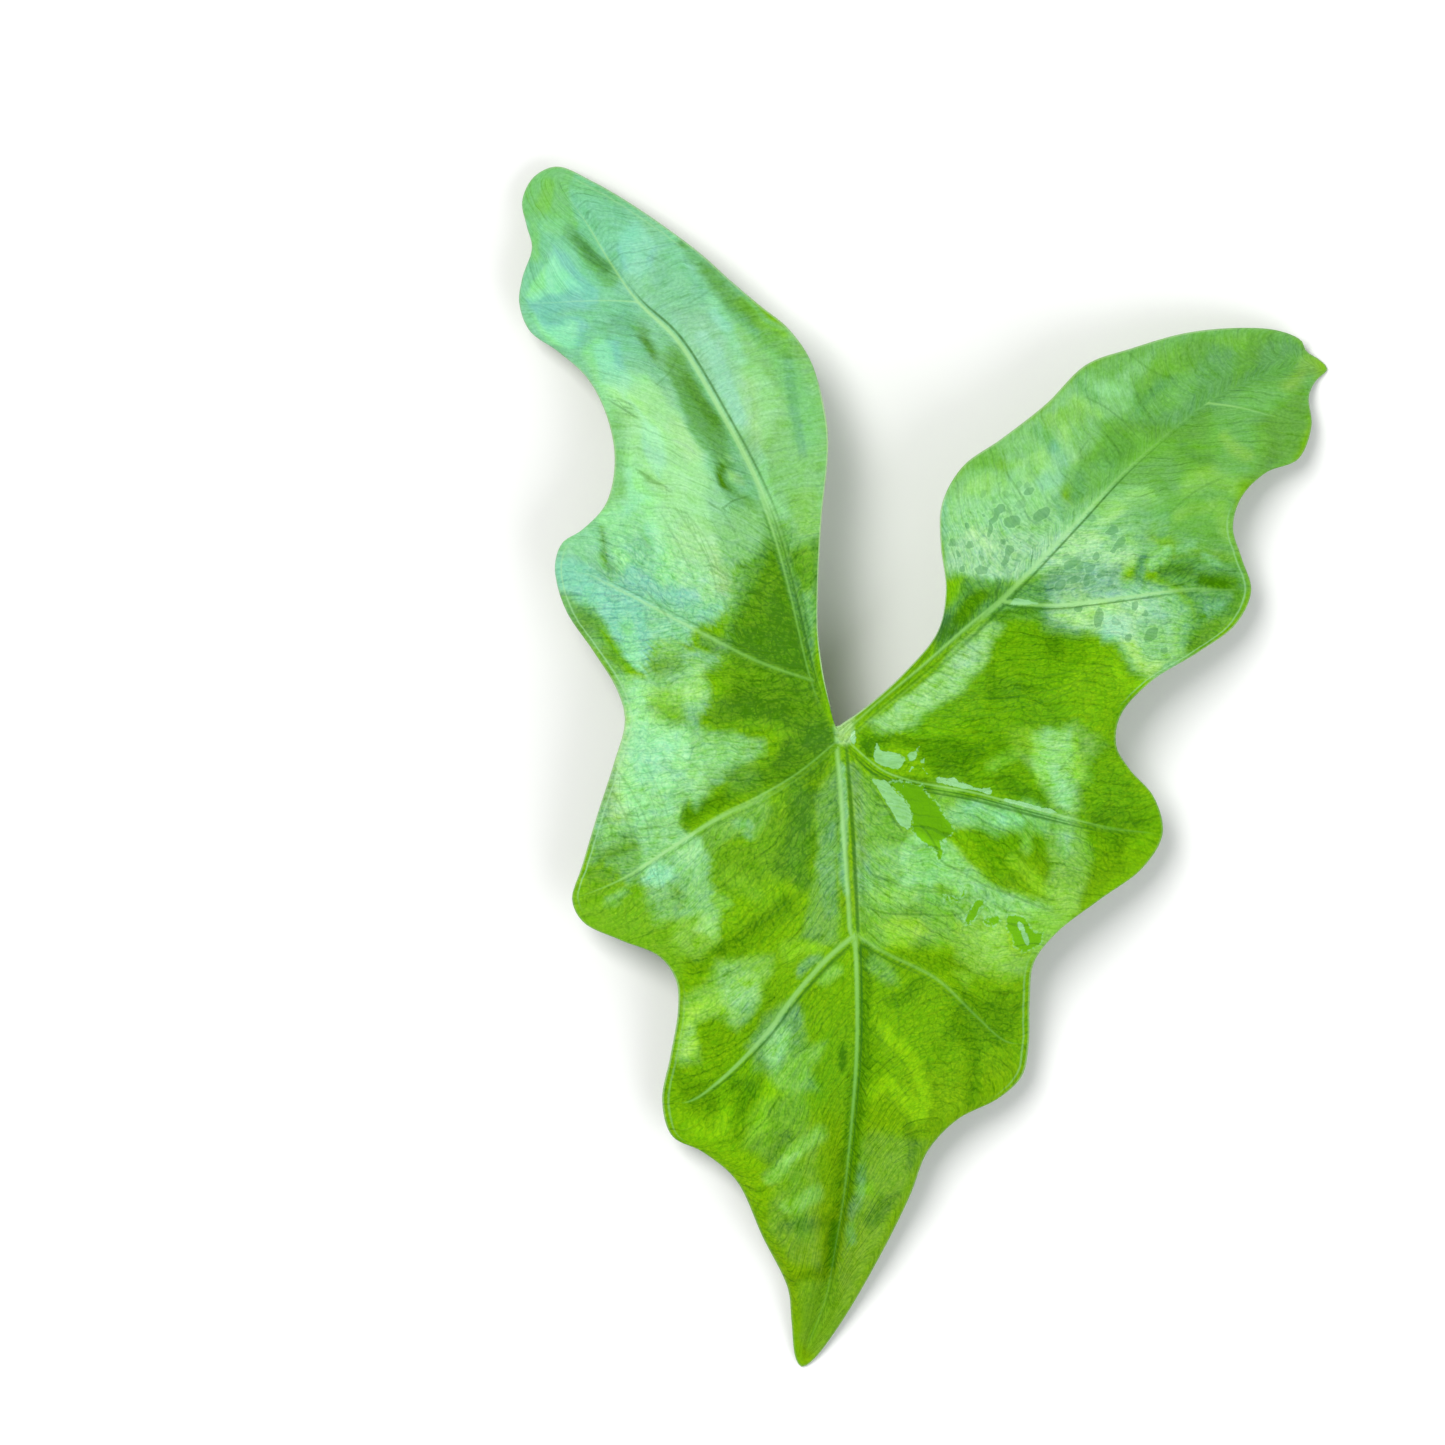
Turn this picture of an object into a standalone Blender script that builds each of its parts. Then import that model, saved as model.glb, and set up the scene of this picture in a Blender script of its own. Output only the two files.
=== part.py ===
"""An alocasia leaf, picked and laid face up on a table.

Two solids: the blade, with its veins raised on both faces and its edge waved, and the cut petiole that
carries it. Lengths are in millimetres in the tables below and are turned into metres at the end. The
tables measure x and y from the joint where the petiole meets the blade, and z from the table.
"""
import math

import bmesh
import bpy
import numpy as np

for old in list(bpy.data.objects):
    bpy.data.objects.remove(old, do_unlink=True)

MM = 0.001

# Sizes of the blade, in mm
SHEET = 0.85            # thickness of the sheet between its veins, measured straight down
SHEET_AT_EDGE = 0.70    # the same at the margin
RIB_ROWS = 2            # rows of faces across half a rib
FIELD_ROWS = 8          # rows of faces from the rib to the margin
SWELLING_RADIUS = 3.4   # flat boss under the joint, where the veins run together
SWELLING_FADE = 9.0     # the boss has blended into the ribs this far out
SWELLING_Z = 27.9       # height of that boss above the table

# Sizes of the petiole, in mm
STALK_GAP = 0.3         # clearance between the petiole's top and the boss
STALK_SIDES = 16
STALK_TOP_RADIUS = 2.6
STALK_END_RADIUS = 3.1

# The veins as (x, y, z) down their middle. The three main ones start at the joint.
MIDRIB = [(0, 0, 31), (1.2, -15, 30.7), (2.3, -31, 29.4), (3.2, -48.5, 27.0), (3.7, -62, 24.2),
          (3.7, -77, 20.6), (2.9, -90, 17.2), (0.8, -112, 11.0), (-1.4, -126, 7.4), (-4, -140, 4.0),
          (-8.2, -151, 1.7)]
LEFT_RIB = [(0, 0, 31), (-5.2, 9.8, 31.4), (-8.4, 19.6, 31.5), (-13, 40, 30.4), (-17.4, 55, 28.6),
            (-22.6, 67.5, 26.3), (-29.2, 80, 23.4), (-41.2, 100, 18.4), (-51, 109.6, 15.6),
            (-58.3, 120, 12.6), (-64.3, 130, 9.8), (-70.4, 138.2, 7.4)]
RIGHT_RIB = [(0, 0, 31), (8, 7.2, 31.2), (20.8, 17.8, 30.6), (32, 27.8, 29.2), (39.6, 34.6, 27.8),
             (59.5, 55.4, 22.6), (69.5, 66, 19.2), (79.5, 75, 15.6), (91.4, 84.4, 11.4), (98.4, 88.4, 8.6),
             (107.5, 92, 5.2), (116.6, 93.6, 1.9)]
# Side veins as (x, y) from where they leave a main vein to the margin, ends not included
SIDE_VEINS = {
    "left_tip_side": [(-57, 109.9), (-66, 109.8), (-74, 109.4)],
    "left_lobe_side": [(-20.5, 19.4), (-38, 28.2), (-55.5, 37.4), (-64, 41.4)],
    "left_base_side": [(-10.5, -8.6), (-20.5, -14.6), (-30.5, -19.2), (-45.5, -28.8), (-55.5, -35)],
    "left_low_side": [(-3.6, -54.4), (-11.4, -63.2), (-20, -74.6), (-31, -85.6), (-38.5, -90.6)],
    "right_low_side": [(10.5, -53), (23.5, -59.6), (33.5, -69), (41, -75.4)],
    "right_base_side": [(9.5, -8), (17, -10.8), (32, -13.6), (49.5, -18.2), (64.5, -21.8), (73, -22.8)],
    "right_lobe_side": [(52, 33.6), (64.5, 34.8), (84.5, 37.4), (94, 37.6)],
    "right_tip_side": [(99, 83.4), (108.5, 81)],
}

# The margin as (x, y, z), in order round the leaf. Each list runs from the end of one vein, or of a
# plain rung across a narrow part, to the point before the end of the next.
MARGIN = [
    [(-1.6, 3.4, 31.0), (-3.9, 11.8, 31.9)],
    [(-5.9, 23.8, 32.6), (-6.1, 37.5, 33.0), (-5.2, 55, 31.6), (-3.5, 73.8, 28.4), (-4.5, 83, 26.2),
     (-8, 95, 22.8), (-13.6, 103, 20.4), (-20.5, 108.6, 18.6), (-28, 115, 16.8)],
    [(-35.5, 121.8, 15.0), (-50.5, 132.8, 11.6), (-63, 140.3, 8.2)],
    [(-71.5, 143.8, 5.8), (-77.2, 141.2, 5.4), (-80.1, 135.2, 6.6), (-79, 129, 9.0), (-77.6, 123.2, 11.0),
     (-80, 115.8, 10.6)],
    [(-80.8, 109.5, 9.4), (-78.2, 102.5, 9.8), (-71, 97.2, 12.4), (-63.5, 90.2, 16.4), (-58.5, 80, 21.0),
     (-56.8, 69.2, 24.0), (-59, 59, 23.6), (-65, 52.5, 20.6), (-70, 49.2, 18.0)],
    [(-71.8, 43.2, 16.4), (-69.2, 32.8, 18.6), (-62, 22, 22.6), (-56.2, 12.5, 25.8), (-54.2, 5, 26.6),
     (-57, -5.8, 25.0), (-61.2, -18.8, 21.2), (-65, -31.5, 16.8)],
    [(-67.5, -40, 14.4), (-64.8, -45.5, 14.6), (-55.5, -50, 17.6), (-45.5, -54.2, 21.0),
     (-41.5, -60, 21.4), (-41, -67.5, 19.4), (-43, -79.5, 14.6)],
    [(-45, -90.5, 10.4), (-42.5, -99.2, 9.8), (-34.8, -103.2, 11.6), (-26.5, -110.2, 12.2),
     (-19.8, -124.5, 9.4), (-13.5, -137.5, 5.6), (-12.6, -145.5, 3.8), (-11.5, -155.2, 1.0)],
    [(-10, -157.4, 0.35), (-7.5, -156, 0.9), (-0.5, -146.8, 3.6), (9.5, -129.5, 8.6), (17, -114.2, 13.0),
     (21.5, -102.8, 15.8), (28.8, -95, 16.4), (39.5, -89.5, 13.4), (45.2, -84, 11.2)],
    [(46.8, -76.2, 11.4), (47, -65, 15.6), (48, -55.5, 20.2), (53.5, -48.2, 22.4), (64.5, -39.8, 20.4),
     (75.2, -32, 15.8)],
    [(80.3, -23.4, 13.2), (78.2, -14.5, 14.6), (71.8, -7.2, 19.4), (68.4, -1.2, 23.4), (69.5, 6.2, 25.4),
     (77, 14.5, 24.2), (89.5, 22.2, 19.4), (98.8, 29.2, 14.4)],
    [(102.5, 37.5, 12.0), (100.2, 45.2, 13.4), (97.8, 53.2, 16.4), (99.8, 60.5, 17.2), (106, 66.8, 14.0),
     (114.5, 70.5, 9.4)],
    [(117.8, 78.8, 6.6), (117.2, 86, 4.6), (119, 90, 1.8)],
    [(122, 93.2, 0.35), (120.2, 95.3, 1.2), (116.6, 97.6, 3.2), (115.3, 100.2, 5.0), (109.5, 102.6, 7.6),
     (99.5, 103.2, 11.0)],
    [(85.8, 101.8, 14.6), (72, 97.8, 17.8), (61, 93.8, 20.4), (50.8, 83.8, 24.4), (39.5, 75, 27.6),
     (30, 68.2, 29.4), (24.8, 58.8, 29.8)],
    [(24.5, 48.8, 29.6), (25.8, 37.5, 29.8), (23.8, 27.2, 30.6), (15.8, 17.2, 31.2), (7, 9.2, 31.4),
     (0.6, 4.6, 31.0)],
]

# Pieces of the main veins between the roots of their side veins: vein, first and last point, columns
SPINES = {
    "left_1": ("left", 0, 2, 10),
    "left_2": ("left", 2, 8, 20),
    "left_3": ("left", 8, 11, 12),
    "mid_1": ("mid", 0, 3, 15),
    "mid_2": ("mid", 3, 10, 23),
    "right_1": ("right", 0, 4, 15),
    "right_2": ("right", 4, 8, 16),
    "right_3": ("right", 8, 11, 10),
}
# One field of the sheet for each margin list: spine piece, whether the spine runs outwards there, the
# vein or rung that it starts with, and how far it bulges up between its veins
FIELDS = [
    ("left_1", True, "", 0.2),
    ("left_2", True, "", 1.6),
    ("left_3", True, "", 1.4),
    ("left_3", False, "", 1.6),
    ("left_2", False, "left_tip_side", 4.0),
    ("left_1", False, "left_lobe_side", 4.2),
    ("mid_1", True, "left_base_side", 4.0),
    ("mid_2", True, "left_low_side", 3.0),
    ("mid_2", False, "", 3.0),
    ("mid_1", False, "right_low_side", 4.2),
    ("right_1", True, "right_base_side", 4.4),
    ("right_2", True, "right_lobe_side", 3.6),
    ("right_3", True, "right_tip_side", 1.2),
    ("right_3", False, "", 1.4),
    ("right_2", False, "", 2.2),
    ("right_1", False, "", 0.8),
]
# Ribs: half width at the root and at the end, height on the upper face, depth on the lower face
MAIN_RIB = (2.6, 0.9, 0.55, 2.2)
SIDE_RIB = (1.7, 0.7, 0.40, 1.2)

# The petiole's middle line, bent down from the joint and then lying on the table
STALK_LINE = [(0.1, -0.6, SWELLING_Z - STALK_GAP), (-0.5, -0.6, 22.0), (-3.2, 0.6, 15.6),
              (-8.4, 6.2, 9.0), (-14.2, 17, 4.7), (-18.6, 31, 3.0), (-24.6, 49, 2.72), (-32.5, 68, 2.8),
              (-42, 86.5, 2.88), (-52.5, 103.5, 2.95)]
REST_POINT = 8          # the point of that line over which the petiole's narrow flat is named as a mount


def smooth_line(points, closed=False, steps=14):
    """A smooth curve through the points: a cubic on each span whose slopes at the two ends come from the
    neighbouring points, weighted by the square root of their distances. Returns its samples, with the
    points themselves at every multiple of steps."""
    p = np.array(points, float)
    if closed:
        before, after, last = np.roll(p, 1, 0), np.roll(p, -1, 0), np.roll(p, -2, 0)
    else:
        whole = np.vstack([2 * p[0] - p[1], p, 2 * p[-1] - p[-2]])
        before, p, after, last = whole[:-3], whole[1:-2], whole[2:-1], whole[3:]
    gap_in, gap, gap_out = (np.sqrt(np.linalg.norm(b - a, axis=1))[:, None, None]
                            for a, b in ((before, p), (p, after), (after, last)))
    before, a, b, last = (q[:, None, :] for q in (before, p, after, last))
    slope_a = (b - a) + gap * ((a - before) / gap_in - (b - before) / (gap_in + gap))
    slope_b = (b - a) + gap * ((last - b) / gap_out - (last - a) / (gap + gap_out))
    t = np.linspace(0, 1, steps, endpoint=False)[None, :, None]
    line = ((2 * t**3 - 3 * t**2 + 1) * a + (t**3 - 2 * t**2 + t) * slope_a
            + (3 * t**2 - 2 * t**3) * b + (t**3 - t**2) * slope_b).reshape(-1, p.shape[1])
    return np.vstack([line, line[:1] if closed else whole[-2]])


def along(line, fraction):
    """Points at the given fractions of a line's length, found by linear interpolation."""
    run = np.append(0, np.cumsum(np.linalg.norm(np.diff(line, axis=0), axis=1)))
    return np.stack([np.interp(fraction, run / run[-1], line[:, k]) for k in range(line.shape[1])], -1)


def length(line):
    return np.linalg.norm(np.diff(line, axis=0), axis=1).sum()


def smoothstep(low, high, value):
    t = np.clip((value - low) / (high - low), 0, 1)
    return t * t * (3 - 2 * t)


STEPS = 14
MAIN = {"mid": smooth_line(MIDRIB, steps=STEPS), "left": smooth_line(LEFT_RIB, steps=STEPS),
        "right": smooth_line(RIGHT_RIB, steps=STEPS)}
edge_line = smooth_line(sum(MARGIN, []), closed=True, steps=STEPS)
edge_starts = np.cumsum([0] + [len(part) for part in MARGIN]) * STEPS


def spine_of(name, outwards):
    """The stretch of a main vein between two roots, in the direction in which its field runs."""
    vein, first, last, columns = SPINES[name]
    line = MAIN[vein][first * STEPS:last * STEPS + 1]
    return (line if outwards else line[::-1]), columns


def guide(root, end, side_vein):
    """A line across the sheet from a main vein to the margin: a side vein, or a straight rung. Its height
    goes from the root's to the end's as a third of t and two thirds of t squared, so it droops outwards."""
    flat = smooth_line([root[:2]] + SIDE_VEINS.get(side_vein, []) + [end[:2]], steps=STEPS)
    run = np.append(0, np.cumsum(np.linalg.norm(np.diff(flat, axis=0), axis=1)))
    t = run / run[-1]
    return np.column_stack([flat, root[2] + (end[2] - root[2]) * (t + 2 * t * t) / 3])


guides = []
for number, (spine_name, outwards, side_vein, bulge) in enumerate(FIELDS):
    spine, columns = spine_of(spine_name, outwards)
    guides.append(guide(spine[0], edge_line[edge_starts[number]], side_vein))
guides.append(guides[0])


def field(number):
    """One field of the sheet as a grid of points: a Coons patch, which is the blend of spine and margin
    plus the blend of the two guides, less the blend of the four corners. u runs along the spine and t from
    the spine to the margin. The first and last columns and the first rows keep the width of the ribs, and
    the sheet rises between the guides as sine of pi u times sine of pi t."""
    spine_name, outwards, side_vein, bulge = FIELDS[number]
    spine, columns = spine_of(spine_name, outwards)
    edge = edge_line[edge_starts[number]:edge_starts[number + 1] + 1]
    first, last = guides[number], guides[number + 1]
    next_vein = FIELDS[(number + 1) % len(FIELDS)][2]
    rows = RIB_ROWS + FIELD_ROWS
    k, j = np.meshgrid(np.arange(columns + 1), np.arange(rows + 1), indexing="ij")
    # Columns: even on the spine, and further out the first and last are one rib wide
    level = np.clip((j - RIB_ROWS) / FIELD_ROWS, 0, 1)
    width = length(spine) + (length(edge) - length(spine)) * level
    rib = SIDE_RIB[0] + (SIDE_RIB[1] - SIDE_RIB[0]) * level
    even = 1 / columns
    one_rib = even + (np.minimum(rib / width, even) - even) * smoothstep(0, 0.25, level)
    low = one_rib if side_vein else even
    high = one_rib if next_vein else even
    u = np.where(k == 0, 0, np.where(k == columns, 1,
                 low + (1 - low - high) * (k - 1) / (columns - 2)))
    # Rows: the first ones cross half of the main rib
    reach = np.linalg.norm(along(edge, u[:, :1]) - along(spine, u[:, :1]), axis=-1)
    half = np.minimum((MAIN_RIB[0] + MAIN_RIB[1]) / 2 / reach, 0.28)
    t = np.where(j <= RIB_ROWS, half * j / RIB_ROWS, half + (1 - half) * (j - RIB_ROWS) / FIELD_ROWS)
    u3, t3 = u[..., None], t[..., None]
    point = ((1 - t3) * along(spine, u) + t3 * along(edge, u)
             + (1 - u3) * along(first, t) + u3 * along(last, t)
             - (1 - u3) * (1 - t3) * spine[0] - u3 * (1 - t3) * spine[-1]
             - (1 - u3) * t3 * edge[0] - u3 * t3 * edge[-1])
    point[..., 2] += bulge * np.sin(math.pi * u) * np.sin(math.pi * t)
    return point, t


def rib_heights(x, y):
    """How much the ribs add above and below at each point. Across a rib the height is the full height
    times one minus the square of the distance over the half width. Half width and height shrink evenly
    from a vein's root to its end, and where two veins meet the larger one counts."""
    above, below = np.zeros_like(x), np.zeros_like(x)
    main = [(line, MAIN_RIB) for line in MAIN.values()]
    side = [(guides[n], SIDE_RIB) for n, row in enumerate(FIELDS) if row[2]]
    for line, (wide, narrow, top, bottom) in main + side:
        a, b = line[:-1, :2], line[1:, :2]
        step = b - a
        rel = np.stack([x, y], -1)[:, None, :] - a
        f = np.clip((rel * step).sum(-1) / (step**2).sum(-1), 0, 1)
        gap = np.linalg.norm(rel - f[..., None] * step, axis=-1)
        nearest = gap.argmin(1)
        pick = np.arange(len(x))
        share = (nearest + f[pick, nearest]) / len(a)
        half = wide + (narrow - wide) * share
        hump = np.clip(1 - (gap[pick, nearest] / half)**2, 0, 1)
        above = np.maximum(above, top * (1 - 0.7 * share) * hump)
        below = np.maximum(below, bottom * (1 - 0.75 * share) * hump)
    return above, below


def mesh_object(name, vertices, faces, colour, roughness):
    """An object from points in mm, with its own material, welded where its grids meet."""
    mesh = bpy.data.meshes.new(name)
    mesh.from_pydata((np.array(vertices) * MM).tolist(), [], faces)
    bm = bmesh.new()
    bm.from_mesh(mesh)
    bmesh.ops.remove_doubles(bm, verts=bm.verts, dist=0.000002)
    bmesh.ops.recalc_face_normals(bm, faces=bm.faces)
    bm.to_mesh(mesh)
    bm.free()
    mesh.shade_smooth()
    material = bpy.data.materials.new(name)
    material.use_nodes = True
    shader = material.node_tree.nodes["Principled BSDF"]
    shader.inputs["Base Color"].default_value = (*colour, 1)
    shader.inputs["Roughness"].default_value = roughness
    shader.inputs["Metallic"].default_value = 0
    mesh.materials.append(material)
    obj = bpy.data.objects.new(name, mesh)
    leaf.objects.link(obj)
    return obj


leaf = bpy.data.collections.new("alocasia_leaf")
bpy.context.scene.collection.children.link(leaf)

# The blade: every field's grid gives an upper and a lower sheet, cut into the same triangles
points, triangles, rim = [], [], []
for number in range(len(FIELDS)):
    grid, t = field(number)
    columns, rows = grid.shape[0] - 1, grid.shape[1] - 1
    offset = sum(len(p) for p in points)
    index = offset + np.arange(grid.shape[0] * grid.shape[1]).reshape(grid.shape[:2])
    a, b, c, d = index[:-1, :-1], index[1:, :-1], index[1:, 1:], index[:-1, 1:]
    triangles += np.stack([a, c, b], -1).reshape(-1, 3).tolist()
    triangles += np.stack([a, d, c], -1).reshape(-1, 3).tolist()
    rim += np.stack([index[:-1, -1], index[1:, -1]], -1).tolist()
    points.append(np.column_stack([grid.reshape(-1, 3), t.reshape(-1)]))
points = np.vstack(points)
x, y, z, t = points.T
above, below = rib_heights(x, y)
sheet = SHEET + (SHEET_AT_EDGE - SHEET) * smoothstep(0.8, 1, t)
lower = z - sheet / 2 - below
joint = smoothstep(SWELLING_RADIUS, SWELLING_FADE, np.hypot(x - STALK_LINE[0][0], y - STALK_LINE[0][1]))
lower = np.maximum(SWELLING_Z + (np.maximum(lower, SWELLING_Z) - SWELLING_Z) * joint, 0) * (joint < 1) \
    + np.maximum(lower, 0) * (joint == 1)
upper = np.maximum(z + sheet / 2 + above, lower + sheet)
count = len(points)
vertices = np.vstack([np.column_stack([x, y, upper]), np.column_stack([x, y, lower])])
faces = triangles + [[a + count, c + count, b + count] for a, b, c in triangles]
faces += [[a, b, b + count] for a, b in rim] + [[a, b + count, a + count] for a, b in rim]
blade = mesh_object("blade", vertices, faces, (0.13, 0.36, 0.015), 0.32)


def tube(line, radii, sides, floor):
    """A round tube along a line: a ring of points square to the line at each of its points, closed by a
    fan at both ends. The top ring lies level. No point goes below the floor, so the stretch that lies on
    the table gets a narrow flat."""
    line = np.array(line)
    tangent = np.gradient(line, axis=0)
    tangent[0] = (0, 0, -1)
    tangent /= np.linalg.norm(tangent, axis=1)[:, None]
    heading = line[-1, :2] - line[0, :2]
    side = np.array([heading[1], -heading[0], 0]) / np.hypot(*heading)
    side = side - (tangent @ side)[:, None] * tangent
    side /= np.linalg.norm(side, axis=1)[:, None]
    up = np.cross(side, tangent)
    turn = (np.arange(sides) + 0.5) / sides * 2 * math.pi
    rings = (line[:, None] + radii[:, None, None]
             * (np.cos(turn)[None, :, None] * side[:, None] + np.sin(turn)[None, :, None] * up[:, None]))
    rings[..., 2] = np.maximum(rings[..., 2], floor)
    faces = [[n * sides + k, n * sides + (k + 1) % sides, (n + 1) * sides + (k + 1) % sides,
              (n + 1) * sides + k] for n in range(len(line) - 1) for k in range(sides)]
    faces += [list(range(sides)), [(len(line) - 1) * sides + k for k in range(sides)][::-1]]
    return rings.reshape(-1, 3), faces


stalk_line = smooth_line(STALK_LINE, steps=5)
share = np.linspace(0, 1, len(stalk_line))
flare = 0.5 * (1 - smoothstep(0, 0.12, share))
stalk_radii = STALK_TOP_RADIUS + (STALK_END_RADIUS - STALK_TOP_RADIUS) * share + flare
ring_points, ring_faces = tube(stalk_line, stalk_radii, STALK_SIDES, 0.0)
petiole = mesh_object("petiole", ring_points, ring_faces, (0.42, 0.27, 0.20), 0.5)

# The origin goes under the middle of the leaf's box, on the table
everything = np.vstack([[v.co for v in obj.data.vertices] for obj in (blade, petiole)])
low, high = everything.min(0), everything.max(0)
shift = np.array([-(low[0] + high[0]) / 2, -(low[1] + high[1]) / 2, -low[2]])
for obj in (blade, petiole):
    for v in obj.data.vertices:
        v.co = np.array(v.co) + shift
    print(obj.name, len(obj.data.vertices), "points", sum(len(f.vertices) - 2 for f in obj.data.polygons),
          "triangles")
print("box in mm", ((high - low) / MM).round(2), "joint in mm", (shift / MM).round(3))
rest = np.array(STALK_LINE[REST_POINT][:2]) * MM + shift[:2]
print("rest mount in m", rest.round(5), "at height 0")
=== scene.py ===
# %% [markdown]
# An alocasia leaf, picked and laid face up. The part's solids are loaded first: they give every size, and
# they stay in the physics. This file then lays a finer blade and a finer petiole over them, paints both
# with procedural materials, and sets up a pale table, soft lights and a camera that looks straight down.

# %% Load the frame
import math

import bmesh
import bpy
import numpy as np
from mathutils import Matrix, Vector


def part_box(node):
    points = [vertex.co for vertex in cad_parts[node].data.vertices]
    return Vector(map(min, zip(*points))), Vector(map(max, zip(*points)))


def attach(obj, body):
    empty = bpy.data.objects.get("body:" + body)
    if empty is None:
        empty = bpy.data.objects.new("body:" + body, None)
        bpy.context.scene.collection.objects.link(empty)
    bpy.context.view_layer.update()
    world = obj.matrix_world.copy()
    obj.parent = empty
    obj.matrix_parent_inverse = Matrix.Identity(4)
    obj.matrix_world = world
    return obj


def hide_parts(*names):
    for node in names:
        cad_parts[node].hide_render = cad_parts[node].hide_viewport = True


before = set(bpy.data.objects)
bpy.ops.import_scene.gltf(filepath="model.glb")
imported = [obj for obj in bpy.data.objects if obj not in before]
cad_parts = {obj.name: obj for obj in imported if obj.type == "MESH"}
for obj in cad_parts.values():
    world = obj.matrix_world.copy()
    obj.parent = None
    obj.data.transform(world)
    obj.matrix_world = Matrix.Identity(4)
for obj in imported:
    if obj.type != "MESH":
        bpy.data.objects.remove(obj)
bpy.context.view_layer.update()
MM = 0.001
print("solids:", sorted(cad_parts))

# %% [markdown]
# The blade is described the way one would sketch it: by its veins and by its margin. Each is a short list
# of points in millimetres, measured from the joint where the petiole meets the blade, with z from the
# table. The three main veins run from the joint to the tip and into the two rear lobes.

# %% The main veins
MIDRIB = [
    (0, 0, 31), (1.2, -15, 30.7), (2.3, -31, 29.4), (3.2, -48.5, 27), (3.7, -62, 24.2), (3.7, -77, 20.6),
    (2.9, -90, 17.2), (0.8, -112, 11), (-1.4, -126, 7.4), (-4, -140, 4), (-8.2, -151, 1.7),
]
LEFT_RIB = [
    (0, 0, 31), (-4, 7.3, 31.3), (-6.9, 14.6, 31.5), (-13, 40, 30.4), (-17.4, 55, 28.6),
    (-22.6, 67.5, 26.3), (-29.2, 80, 23.4), (-41.2, 100, 18.4), (-51, 109.6, 15.6), (-58.3, 120, 12.6),
    (-64.3, 130, 9.8), (-70.4, 138.2, 7.4),
]
RIGHT_RIB = [
    (0, 0, 31), (8, 7.2, 31.2), (20.8, 17.8, 30.6), (32, 27.8, 29.2), (39.6, 34.6, 27.8),
    (59.5, 55.4, 22.6), (69.5, 66, 19.2), (79.5, 75, 15.6), (91.4, 84.4, 11.4), (98.4, 88.4, 8.6),
    (107.5, 92, 5.2), (116.6, 93.6, 1.9),
]
print("main veins:", len(MIDRIB) + len(LEFT_RIB) + len(RIGHT_RIB), "points")

# %% The side veins, from where they leave a main vein to the margin
SIDE_VEINS = {
    "left_tip_side": [(-57, 109.9), (-66, 109.8), (-74, 109.4)],
    "left_lobe_side": [(-20.5, 19.4), (-38, 28.2), (-55.5, 37.4), (-64, 41.4)],
    "left_base_side": [(-10.5, -8.6), (-20.5, -14.6), (-30.5, -19.2), (-45.5, -28.8), (-55.5, -35)],
    "left_low_side": [(-3.6, -54.4), (-11.4, -63.2), (-20, -74.6), (-31, -85.6), (-38.5, -90.6)],
    "right_low_side": [(10.5, -53), (23.5, -59.6), (33.5, -69), (41, -75.4)],
    "right_base_side": [(9.5, -8), (17, -10.8), (32, -13.6), (49.5, -18.2), (64.5, -21.8), (73, -22.8)],
    "right_lobe_side": [(52, 33.6), (64.5, 34.8), (84.5, 37.4), (94, 37.6)],
    "right_tip_side": [(99, 83.4), (108.5, 81)],
}
print("side veins:", len(SIDE_VEINS))

# %% [markdown]
# The margin goes once round the leaf. It is cut into sixteen lists, one for each field of the sheet
# between two veins, or between a vein and a plain rung across a narrow part.

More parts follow.
